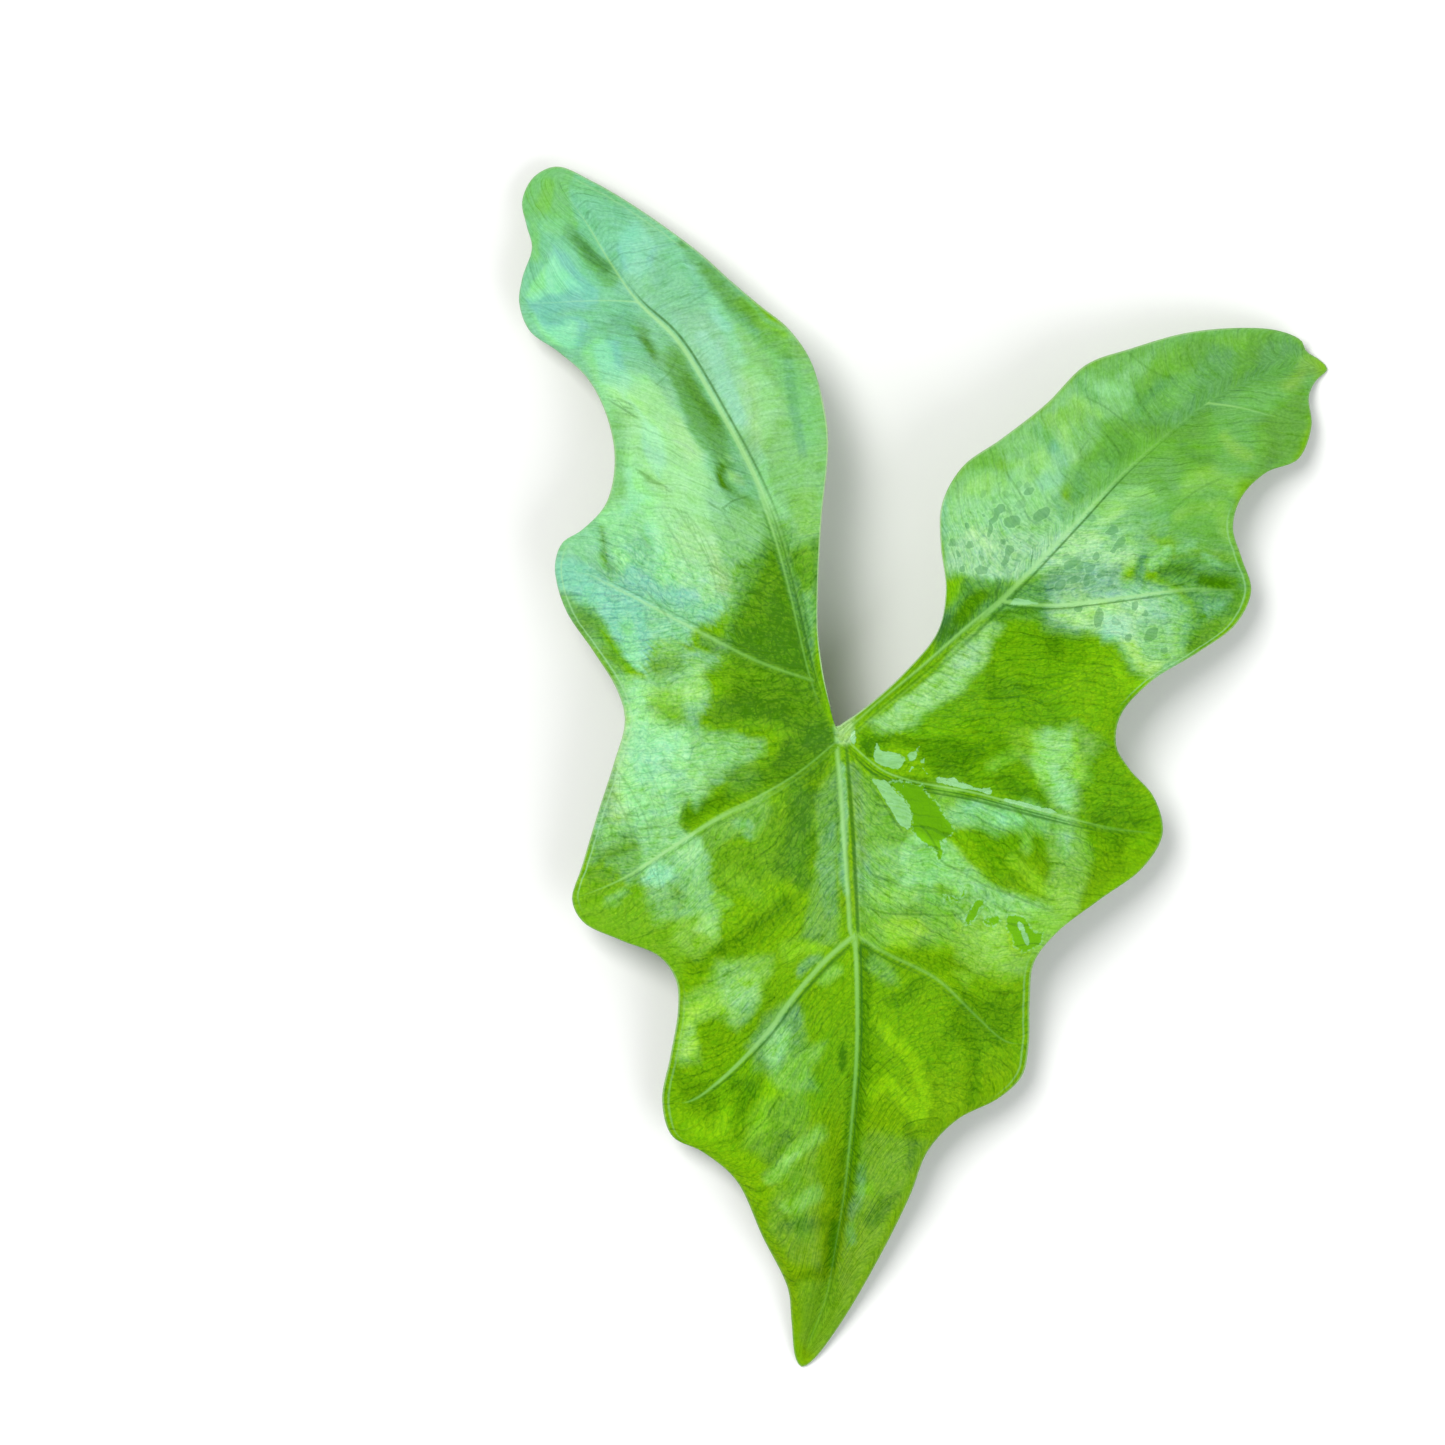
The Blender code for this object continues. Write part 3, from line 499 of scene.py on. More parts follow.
def crinkle(x, y, gap, edge):
    """Height in mm: a sum of sine waves of seeded directions, 7 to 22 mm long, held back near the veins,
    plus one bell for each dent."""
    draw = np.random.default_rng(11)
    height = np.zeros_like(x)
    for length in WAVES:
        angle, phase = draw.uniform(0, math.pi), draw.uniform(0, 2 * math.pi)
        wave = 2 * math.pi / length
        ahead = x * math.cos(angle) + y * math.sin(angle)
        aside = x * math.sin(angle) - y * math.cos(angle)
        bend = BEND * np.sin(aside * wave * BEND_RATE + phase * 2)
        height += WAVE_HEIGHT * length * np.sin(ahead * wave + phase + bend)
    rim_share = CALM_AT_RIM + (1 - CALM_AT_RIM) * smoothstep(0, CALM_RIM, edge)
    height *= smoothstep(0, CALM_RIB, gap) * rim_share
    for cx, cy, long_half, short_half, turn, depth in DENTS:
        c, s = math.cos(math.radians(turn)), math.sin(math.radians(turn))
        a = ((x - cx) * c + (y - cy) * s) / long_half
        b = (-(x - cx) * s + (y - cy) * c) / short_half
        height += depth * np.exp(-a * a - b * b) * smoothstep(0, DENT_OFF, gap)
    return height


upper_edge = (1 - upper[T]) * upper[REACH]      # mm to the margin
lower_edge = (1 - lower[T]) * lower[REACH]
wave_check = crinkle(*upper[:2], veins_above[1], upper_edge)
print("crinkles from %.2f to %.2f mm" % (wave_check.min(), wave_check.max()))

# %% Heights of the two faces
SHEET, SHEET_AT_RIM, RIM_ROUND = 0.85, 0.12, 0.5    # mm
RIB_END = 1.2       # mm from the margin within which the ribs fade out
JOINT_POINT = (0.1, -0.6)   # where the petiole joins from below, at a flat swelling
SWELLING_RADIUS, SWELLING_FADE, SWELLING_Z = 3.4, 9.0, 27.9


def sheet_thickness(edge):
    """Full thickness half a mm inside the margin, less towards it as the square root of the distance, which
    rounds the rim."""
    return SHEET_AT_RIM + (SHEET - SHEET_AT_RIM) * np.sqrt(np.clip(edge / RIM_ROUND, 0, 1))


def heights(face, veins, edge):
    """The two faces' heights: the middle surface plus and less half the sheet and the ribs. The lower face
    is flat at the swelling under the joint, and never below the table."""
    x, y, z = face[:3]
    inside = smoothstep(0, RIB_END, edge)
    middle = z + crinkle(x, y, veins[1], edge)
    bottom = middle - sheet_thickness(edge) / 2 - rib_below(veins) * inside
    away = smoothstep(SWELLING_RADIUS, SWELLING_FADE, np.hypot(x - JOINT_POINT[0], y - JOINT_POINT[1]))
    lifted = SWELLING_Z + (np.maximum(bottom, SWELLING_Z) - SWELLING_Z) * away
    bottom = np.maximum(np.where(away < 1, lifted, bottom), 0.0)
    top = middle + sheet_thickness(edge) / 2 + rib_above(veins) * inside
    return np.maximum(top, bottom + sheet_thickness(edge)), bottom


top_z = heights(upper, veins_above, upper_edge)[0]
bottom_z = heights(lower, veins_below, lower_edge)[1]
print("highest point %.1f mm, lowest %.1f mm" % (top_z.max(), bottom_z.min()))

# %% [markdown]
# Colour. The real leaf is vivid green with pale areas where its gloss mirrors the sky, painted here into
# the colour as a sheen of reflection, darker green along the ribs, which is painted shade, and dried splashes
# on the right lobe. It is laid in as a painter would: broad strokes first, then smaller ones over them. A
# stroke is a patch or a line in millimetres with a soft border. It says how much painted sky sheen, how
# light and how warm the leaf is there, in percent, and None leaves that as it is. The light is the green's
# own tone together with painted shade and painted highlights from the sheet's relief. Then come the
# softness of its border in mm, for a line half its width in mm, and its points as x, y, x, y.

# %% Strokes on the left lobe
# painted sky sheen, light with painted shade and highlights, warmth, softness, a line's half width, points
LEFT_LOBE = [
    (36, 57, 40, 1.6, [-30, 120, -20, 105, -4, 100, -2, 85, -2, 60, -5, 48, -22, 48, -34, 70]),
    (64, 73, 30, 1.2, [-88, 152, -40, 131, -36, 119, -31, 111, -27, 107, -25, 98, -23, 92, -22, 86, -22, 78,
     -18, 70, -20, 62, -27, 58, -26, 48, -29, 42, -30, 31, -70, 30, -90, 100]),
    (None, 62, None, 3, [-90, 152, -44, 132, -38, 118, -33, 109, -29, 104, -27, 94, -27, 86, -60, 88,
     -90, 110]),
    (None, None, 10, 4, [-81, 143, -66, 147, -54, 137, -50, 126, -57, 114, -52, 108, -49, 98, -57, 92,
     -67, 96, -79, 104, -82, 120]),
    (None, None, 18, 2.5, 3.5, [-44, 125, -28, 110, -16, 99, -10, 83, -9, 76]),
    (None, None, 50, 3, [-42, 108, -34, 108, -28, 98, -22, 90, -16, 80, -16, 70, -26, 68, -30, 80,
     -36, 94]),
    (None, None, 68, 2, 2, [-24, 88, -21, 74]),
    (None, None, 50, 3, [-58, 90, -42, 88, -36, 70, -28, 60, -27, 40, -33, 31, -41, 38, -46, 50, -45, 62,
     -54, 72]),
    (None, None, 68, 2, 3, [-41, 78, -37, 72]),
    (None, None, 66, 2.5, 4, [-38, 50, -30, 47]),
    (None, None, 85, 1.5, 1.8, [-31, 46, -30, 38]),
    (None, None, 13, 2, 3.5, [-68, 42, -61, 33, -54, 22]),
    (None, 88, None, 1.2, [-66, 97, -62, 100, -57, 98, -56, 93, -50, 92, -47, 88, -44, 84, -38, 79, -36, 75,
     -35, 70, -33, 64, -35, 60, -33, 56, -30, 52, -29, 42, -31, 33, -40, 32, -43, 36, -47, 39, -47, 46,
     -49, 52, -54, 52, -52, 39, -56, 40, -57, 49, -62, 55, -59, 64, -58, 76, -60, 86, -62, 90]),
    (None, 100, None, 1, [-60, 89, -54, 89, -49, 84, -48, 80, -44, 77, -44, 72, -47, 72, -50, 78, -51, 82,
     -56, 85]),
    (None, 100, None, 1, [-56, 72, -53, 72, -52, 67, -47, 71, -43, 67, -50, 68, -49, 63, -44, 60, -48, 58,
     -52, 59, -60, 57, -57, 62]),
    (None, 100, None, 0.9, 1.2, [-47.5, 56, -46, 50, -43.5, 45]),
    (None, 100, None, 0.7, 0.9, [-56, 48, -53.4, 44]),
    (88, None, None, 1, [-72, 124, -66, 118, -61, 113, -61, 110, -66, 108, -70, 108, -74, 105, -78, 108,
     -79, 110, -74, 112, -74, 118]),
    (88, None, None, 1, [-76, 106, -73, 102, -69, 98, -66, 99, -64, 104, -66, 106]),
    (100, 80, None, 1, 1.2, [-68, 114.5, -66, 113.5]),
    (88, 74, None, 1.2, [-52, 130, -48, 127, -46, 123, -47, 118, -50, 115, -55, 118, -57, 123, -56, 127]),
    (88, None, None, 1, [-63, 98, -55, 100, -54, 94, -52, 91, -54, 86, -49, 80, -45, 76, -43, 70, -45, 66,
     -50, 72, -50, 80, -56, 88, -60, 89, -61, 93]),
    (86, 74, None, 1.1, 2, [-35, 100, -31, 95, -29, 88, -26, 80]),
    (86, 74, None, 1, 1.5, [-32, 107, -28.5, 103]),
    (None, 90, None, 0.8, [-79, 111, -77, 114.5, -74, 119, -72, 122, -70, 118, -66, 115, -70, 111.5,
     -77, 109]),
    (None, 90, None, 0.8, [-77, 106.5, -73, 103.5, -67, 105, -66.5, 101, -68, 98, -72, 99.5, -75, 103]),
    (36, 58, None, 1.1, [-84, 131, -84, 142, -73, 148, -67, 144, -68, 136, -65, 130, -66, 126, -74, 130]),
    (21, 58, None, 0.9, 1.6, [-74, 139.5, -75.5, 134]),
    (50, 66, None, 1, [-75, 131, -69, 131, -66, 128, -71, 126, -76, 127]),
    (40, 62, None, 1.1, 1.2, [-77.5, 130, -77, 121]),
    (50, None, None, 1.2, 1.6, [-66, 139, -56, 134.5]),
    (None, 58, None, 1.2, 2, [-62, 137.5, -56, 134, -56, 130]),
    (None, 58, None, 1.4, 2.4, [-58, 123, -55, 113, -53, 108]),
    (None, 56, None, 0.9, 0.9, [-71, 107.5, -62, 108]),
    (None, 58, None, 1.4, 2, [-44, 107, -37, 106]),
    (None, 58, None, 1.4, 2, [-46, 121, -45, 115]),
    (None, 57, None, 1.5, 2.2, [-38, 119, -35, 112]),
    (50, 44, None, 0.9, [-58.5, 102, -58, 106, -53, 107, -48.5, 105, -48, 102.5, -53, 101.5]),
    (34, 42, None, 1, 2.1, [-68, 127, -62.5, 121, -58.5, 116]),
    (19, 20, 8, 0.9, 1.1, [-66, 125, -62.5, 121.5, -59.5, 118]),
    (34, 40, None, 0.9, 1.7, [-50.5, 102.5, -46.5, 95.5]),
    (10, 14, None, 0.6, 0.9, [-50, 101, -47.4, 96.2]),
    (34, 43, 26, 1.1, [-48, 95, -44, 99, -41, 100, -37, 93, -33, 86, -30, 80, -26, 73, -24, 67, -21, 64,
     -21, 58, -26, 58, -30, 62, -32, 66, -33, 70, -36, 75, -39, 81, -42, 88]),
    (19, 30, 22, 0.9, [-45, 95, -42, 97.5, -39.5, 95.5, -34.5, 85, -31, 79.5, -27, 72, -27.5, 65, -30.5, 65,
     -31.5, 70, -35, 77, -39.5, 84, -43, 91]),
    (8, 18, 20, 0.8, 1.3, [-38.5, 90, -36, 86, -32, 79.5]),
    (20, 36, None, 0.8, 1.2, [-27, 63, -22.5, 59]),
    (48, 74, None, 1, 1.6, [-56.5, 82.5, -54, 80]),
    (42, 72, None, 0.9, 1.1, [-49, 66.5, -44, 63.5]),
    (50, 74, None, 0.9, 1, [-36, 55, -30.5, 52]),
    (24, 30, None, 0.7, 0.9, [-40.5, 124, -37.4, 121.8]),
    (40, 43, None, 1.4, 2.6, [-37, 121, -30, 114, -24, 106, -18, 101]),
    (20, 30, None, 1, 1.5, [-34, 118, -28, 111, -23, 105]),
    (9, None, None, 0.9, 1.3, [-25.5, 109, -20, 103.5, -14.5, 101]),
    (21, 44, None, 1.4, 2, [-20, 101, -10, 96.5]),
    (50, 73, None, 1.2, 2.4, [-23, 92, -18, 84, -20, 76]),
    (50, 73, None, 1.1, 1.4, [-20, 68, -18, 60, -15, 57]),
    (None, 42, None, 0.9, 1.3, [-13, 96, -12, 86, -10.5, 71]),
    (86, 73, None, 1, [-74, 46, -68, 46, -63, 44, -58, 40, -55, 40, -52, 44, -49, 40, -45, 38, -40, 39,
     -36, 38, -34, 34, -36, 32, -40, 32, -43, 35, -50, 36, -51, 30, -60, 32, -62, 35, -72, 38]),
    (84, None, None, 0.9, [-56.5, 68, -53, 68, -52, 62, -47, 61, -51, 58.5, -54, 57, -57, 60]),
    (82, None, None, 0.9, 1.6, [-48, 53, -45.5, 48]),
    (25, 40, None, 0.8, 1.1, [-60, 52, -59.5, 46]),
    (44, 44, None, 0.8, 0.9, [-58.5, 44, -56.5, 42]),
    (24, 44, None, 1.1, 1.5, [-70, 36, -66, 32.5, -60, 23, -55, 15, -55, 6]),
    (5, 32, None, 0.9, 1.4, [-59, 22, -56.5, 20.5]),
    (48, 68, None, 1.2, 1.4, [-25.5, 56, -26.5, 50, -28.5, 43, -30, 34]),
    (20, 43, 30, 1.1, [-24, 52, -22, 56, -13, 52, -6, 50, -6, 38, -7, 30, -8, 16, -30, 21, -29, 31, -28, 38,
     -25, 46]),
    (9, 28, 24, 1.1, [-21, 49, -15, 50, -13, 47, -11, 44, -9, 30, -8, 17, -29, 23, -28, 32, -25, 39,
     -23, 44]),
    (1, 17, 20, 1.1, [-19, 47, -18, 48, -15, 43, -13, 37, -11, 30, -9, 18, -27, 24, -26, 32, -23, 37,
     -21, 42]),
    (8, 20, None, 1, 1.3, [-6.5, 50, -6, 40, -6, 28]),
]
print("strokes on the left lobe:", len(LEFT_LOBE))

# %% Strokes on the left middle
LEFT_MIDDLE = [
    (86, 73, 20, 1.2, [-62, 34, -58, 27, -55, 22, -52, 19, -49, 20, -47, 24, -44, 26, -45, 30, -50, 36]),
    (66, 73, 32, 1.2, [-50, 34, -47, 24, -44, 25, -38, 24, -37, 28, -31, 29, -31, 34]),
    (38, 56, 40, 1, [-57, 15, -50, 16, -48, 19, -46, 22, -40, 23, -37, 22, -31, 22, -30, 17, -33, 10,
     -37, 6, -36, 3, -31, 1, -24, 1, -20, -2, -25, -6, -33, -12, -37, -13, -39, -17, -41, -22, -35, -24,
     -33, -27, -34, -36, -31, -42, -31, -49, -36, -52, -40, -47, -43, -43, -44, -37, -51, -36, -51, -28,
     -54, -24, -62, -26]),
    (None, 73, None, 0.9, [-56, 17, -53, 17, -50, 15, -46, 14, -41, 15, -38, 19, -34.5, 20, -33, 16,
     -33, 11, -36, 9.5, -46, 9.5, -48, 7, -45, 4.5, -35, 2, -29, 0.5, -24, 0, -22.5, -2, -25, -4.5, -33, -4,
     -35, -10, -39, -11.5, -40, -18, -41, -23, -38, -22.5, -34, -25, -34.5, -31, -36, -35.5, -41, -33,
     -43, -36, -43, -42, -45, -38, -50, -37, -51, -33, -50, -23, -55, -22.5, -60, -26, -58, -18, -54, 3]),
    (62, 90, None, 0.9, [-54.5, 14, -52.5, 15, -46, 14, -49.5, 9, -48, 4.5, -38, 3, -37, -2, -35, -7,
     -36, -11, -40, -11, -41, -15, -43, -20, -46, -18, -50, -21, -57, -18.5, -56, -10, -55.5, -3, -53, 8]),
    (None, 100, None, 0.9, [-51.5, 12.5, -46, 13.5, -47, 10.5, -50, 9.5, -49, 6, -45, 3.5, -38.5, 1,
     -38, -5, -37, -9, -41, -6, -46, -3.5, -47, -7, -43, -9.5, -44, -13, -49, -17, -54, -18, -56, -16,
     -54, -8, -54, -1, -53, 8]),
    (80, None, None, 1, [-47, 1, -43, 2, -40, 0, -42, -4, -46, -4, -46, -8, -49, -2]),
    (48, 87, None, 1, 1.8, [-50, -12, -46, -14]),
    (None, 73, None, 1, 1.1, [-45, -5.5, -41, -9]),
    (None, None, 75, 2.2, 3, [-55, 4, -57.5, -12, -56, -18]),
    (21, 42, None, 1, [-48, 18, -45, 22, -40, 22, -40, 19, -40, 16, -45, 16]),
    (9, 32, None, 0.8, 1.3, [-45.5, 18, -43, 19]),
    (21, 58, None, 0.9, [-49, 8, -46, 10.5, -43, 12, -40, 11, -39, 7, -41, 4, -46, 4.5]),
    (4, 45, 30, 0.8, [-46.5, 7.5, -46, 9, -42, 9.5, -40, 8, -40, 6, -42, 5, -45, 5.5]),
    (40, 89, 56, 1, 1.5, [-40.5, 12, -36.5, 12, -35.5, 16.5]),
    (12, 30, None, 0.9, 1.7, [-34, 24.5, -31, 23.5]),
    (72, 88, None, 1, 2, [-54, 28, -53, 23, -51, 19.5]),
    (20, 44, 38, 0.9, [-63, -30, -61, -23.5, -57, -25.5, -54, -24, -51.5, -26, -51, -36, -54, -37,
     -57, -32]),
    (8, 32, None, 1, 1, [-60, -28.5, -57, -28, -53, -26]),
    (44, 73, None, 1, [-51, -22, -42, -21, -35, -24, -35, -28, -37, -33, -41, -31, -50, -30]),
    (62, 90, 60, 0.9, [-41, -27.5, -37, -25, -35.5, -26.5, -37.5, -32, -39.5, -29.5]),
    (80, 90, 34, 0.8, [-50, -34.5, -47.5, -32, -44.5, -30, -41.5, -31.5, -41.5, -33.5, -43.5, -36,
     -49, -36.5]),
    (98, 100, None, 0.7, 0.7, [-49, -34.6, -46.6, -33.6, -45.2, -32.6]),
    (2, 42, None, 1.1, [-66, -33, -61, -31, -57, -33, -55, -37, -50, -39, -48, -38, -47, -42, -43, -46,
     -38, -52, -42, -60, -64, -48, -70, -38]),
    (30, 62, None, 0.9, [-46, -37, -43.5, -37, -42.5, -42.5, -40, -45.5, -37, -47.5, -34.5, -49.5,
     -31.5, -48.5, -31, -43, -33.5, -40, -34.5, -35, -39.5, -34.5, -42, -35]),
    (3, 28, None, 0.6, 1, [-41.2, -37, -40.6, -41.4]),
    (26, 58, None, 0.7, 0.9, [-58.8, -41, -57, -40.6, -55, -38.6]),
    (5, 29, None, 1.1, 1.6, [-62.5, -33.5, -58, -34.5]),
    (10, 56, None, 1, 1.4, [-32, -40.5, -28.5, -41]),
    (0, 30, 30, 1.6, [-35, 17, -30, 20, -18, 16, -8, 13, -3, 2, -3, -6, -10, -7, -20, -10, -25, -12,
     -20, -6, -14, 2, -28, 2, -35, 3, -33, 10]),
    (30, 60, None, 1.3, [-38, 3, -26, 1, -20, 0, -20, -3, -25, -6, -32, -10, -37, -12]),
    (38, 74, None, 1.1, [-37, -1, -32, 0, -24, 0, -23, -2, -25, -5, -30, -8, -35, -10]),
    (0, 19, 26, 0.8, [-40.5, -20.5, -39.5, -18, -37, -16.5, -33, -14, -29, -11.5, -27.5, -13.5, -31, -17,
     -35, -19, -38, -22]),
    (10, 43, None, 1.4, [-36, -23, -30, -19, -20, -13, -17, -18, -21, -26, -28, -24, -33, -28]),
    (33, 58, None, 0.9, 1.1, [-26.5, -20.5, -24, -21, -23.5, -24.5]),
    (1, 30, None, 1.5, [-33, -28, -29, -26, -24, -27, -20, -24, -14, -14, -7, -12, -8, -24, -12, -36,
     -18, -34, -26, -39, -32, -38]),
    (2, 17, 27, 1.6, 2.2, [-11, -12, -9.5, -20, -12, -30, -10, -36]),
    (2, 42, None, 1.6, 1.8, [-28, -34, -22, -38]),
    (0, 27, None, 2, 2.6, [-36, -55, -24, -50, -14, -42]),
    (None, 16, None, 1.4, 1.5, [-30, -52, -22, -46.5, -14, -39.5]),
    (3, 58, None, 1.5, 2.4, [-14, -53, -6, -50]),
    (None, 73, None, 1, 1.3, [-13, -53.5, -7, -51.5]),
    (None, None, 62, 2, 3.5, [-2, -12, 3, -24, 3, -40]),
]
print("strokes on the left middle:", len(LEFT_MIDDLE))

# %% Strokes towards the tip
LOWER = [
    (0, 36, 40, 3, [-46, -80, -40, -64, -28, -60, -12, -64, -6, -60, 4, -58, 16, -56, 30, -62, 50, -62,
     50, -82, 30, -100, 12, -134, -8, -162, -18, -140, -28, -118, -46, -104]),
    (None, None, 28, 2, 4, [-25, -82, -24, -92, -30, -88]),
    (None, None, 27, 3, 4, [-4, -78, -10, -90]),
    (None, None, 60, 5, [-46, -98, -26, -108, -14, -104, -8, -94, 0, -92, 8, -90, 20, -84, 36, -80, 50, -82,
     30, -102, 10, -134, -8, -160, -18, -140, -28, -118]),
    (None, None, 80, 4, [-18, -128, -6, -112, 4, -118, 14, -116, 4, -138, -8, -160]),
    (None, None, 35, 2, 2.4, [3, -96, 4, -110]),
    (None, None, 40, 2, 2.2, [-12, -108, -10, -123]),
    (4, None, None, 2, [-20, -90, -10, -88, -6, -100, -6, -132, -12, -130, -18, -122, -16, -106,
     -24, -102]),
    (4, None, None, 2, [1, -104, 8, -98, 22, -100, 14, -118, 6, -134, -4, -156, -11, -150, -4, -144,
     0, -126]),
    (None, 43, None, 1.6, [-30, -100, -20, -104, -14, -110, -20, -118, -26, -112, -38, -104, -43, -92,
     -38, -92]),
    (0, 18, 30, 1.3, 2.1, [6, -52, 5.5, -66, 5.5, -78, 4, -90, 2, -104]),
    (0, 18, None, 1.4, 2.1, [1, -104, 0, -116, -2.5, -126, -4.5, -140, -7, -148]),
    (None, 18, None, 1, 1.5, [-14, -122.5, -8, -121.5, -2, -119]),
    (None, 18, None, 1, 1.2, [-12, -135.5, -6, -132]),
    (None, 6, 10, 0.8, 1, [0.5, -77, 0.5, -81]),
    (None, 6, 30, 0.9, 1.1, [-2, -121, -2.5, -131]),
    (11, 56, 42, 1.4, [-40, -65, -33, -60, -31, -55, -25, -54, -18, -54, -18, -58, -20, -62, -21, -67,
     -25, -70, -27, -73, -30, -70, -35, -70, -38, -72, -36, -77, -36, -81, -40, -82]),
    (None, 74, 50, 1, [-40, -68, -36, -65, -30, -61, -21, -58, -21, -65, -25, -66, -27, -71, -29, -69,
     -33, -68, -38, -70, -36, -73, -37, -79, -41, -80]),
    (22, None, None, 1, [-31, -60, -30, -56, -26, -55, -24, -58, -21, -59, -21, -66, -24, -70, -28, -72,
     -30, -67]),
    (36, None, None, 0.8, [-29, -62, -27, -60.5, -25, -62, -22, -62, -22, -66, -25, -67.5, -27, -69,
     -28.5, -66]),
    (22, None, None, 1, 1.6, [-38, -73, -39, -79]),
    (None, 90, 64, 0.8, 1.1, [-38.5, -69.5, -35, -66]),
    (None, 90, 70, 0.9, 1.3, [-38.5, -78.5, -37.5, -76]),
    (11, None, None, 1.3, [-25, -77, -22, -74, -20, -69, -16, -67, -12, -64, -10, -67, -10, -73, -9, -77,
     -4, -76, -6, -79, -8, -84, -6, -87, -9, -88, -13, -89, -16, -87, -19, -83, -22, -82, -22, -78]),
    (None, 56, 36, 1.2, [-20, -76, -16, -70, -13, -71, -12, -79, -6, -76, -4, -77, -9, -84, -11, -89,
     -15, -89, -18, -91, -19, -98, -23, -101, -22, -96, -20, -89, -17, -83, -19, -78]),
    (22, None, None, 1, [-23, -74, -19, -71, -15, -69, -11, -66, -10, -70, -12, -73, -11, -76, -14, -80,
     -16, -84, -20, -80, -21, -76]),
    (37, 72, 44, 0.9, [-17, -72, -15, -69.5, -13, -72, -13, -74, -14, -79, -16, -82.5, -18, -80,
     -19.5, -76]),
    (12, 57, 40, 1, 1.4, [-4, -59.5, -2, -57.5]),
    (22, None, None, 0.8, 1, [-10, -57.5, -5.5, -54]),
    (0, 57, None, 1.3, 1.7, [-37, -96.5, -34, -98.5, -30.5, -98, -29.5, -93]),
    (11, 57, 40, 1.2, 2.2, [-17.5, -108.5, -14, -104.5, -10, -101.5, -5.5, -98.5]),
    (22, 74, 44, 0.8, 1.2, [-14, -105, -11, -103.5]),
    (13, 57, 44, 1.1, 2, [-13, -117, -10, -116, -6.5, -113.5]),
    (18, None, None, 1, 1.3, [4.5, -107, 4, -113, 2.5, -118]),
    (None, 56, 40, 1, 1.5, [4, -112.5, 7, -112]),
    (13, 42, 46, 1, 1.4, [2, -121.5, 2.5, -125.5]),
    (11, 42, None, 1.2, [5, -54, 8, -54, 13, -56, 14, -60, 10, -60, 6, -57]),
    (None, 57, 50, 1, 1.6, [11, -72, 14, -76, 17.5, -80.5, 20, -86, 21.5, -91]),
    (None, 57, 50, 1, 1.8, [7.5, -88, 11, -86, 15, -89.5, 20, -93.5]),
    (None, 19, 30, 1, 1.5, [13, -65, 16.5, -62.5, 20, -60.5]),
    (0, 19, 34, 1.6, [24, -80, 26, -72, 28, -68, 30, -62, 35, -66, 40, -62, 44, -66, 43, -75, 39, -78,
     35, -75, 34, -85, 34, -91, 31, -92, 32, -84, 32, -76, 28, -75]),
    (None, 18, None, 0.9, 1.1, [16, -96, 18.5, -100, 17.5, -106.5]),
    (None, 18, 62, 1.2, [5, -119, 8, -117, 11, -114, 15, -113, 13, -119, 10, -122, 7, -123]),
    (None, 18, 22, 1.2, [-28, -83, -22, -85, -20, -84, -22, -90, -24, -96, -26, -95, -25, -88, -28, -86]),
    (None, 18, 50, 1, 1.3, [-18.5, -104, -16.5, -100.5, -13.5, -98]),
    (5, 57, 44, 1.6, [27, -58, 29, -52, 33, -50, 35, -46, 46, -46, 47, -52, 46, -57, 40, -60, 35, -56,
     32, -60, 31, -62]),
]
print("strokes towards the tip:", len(LOWER))

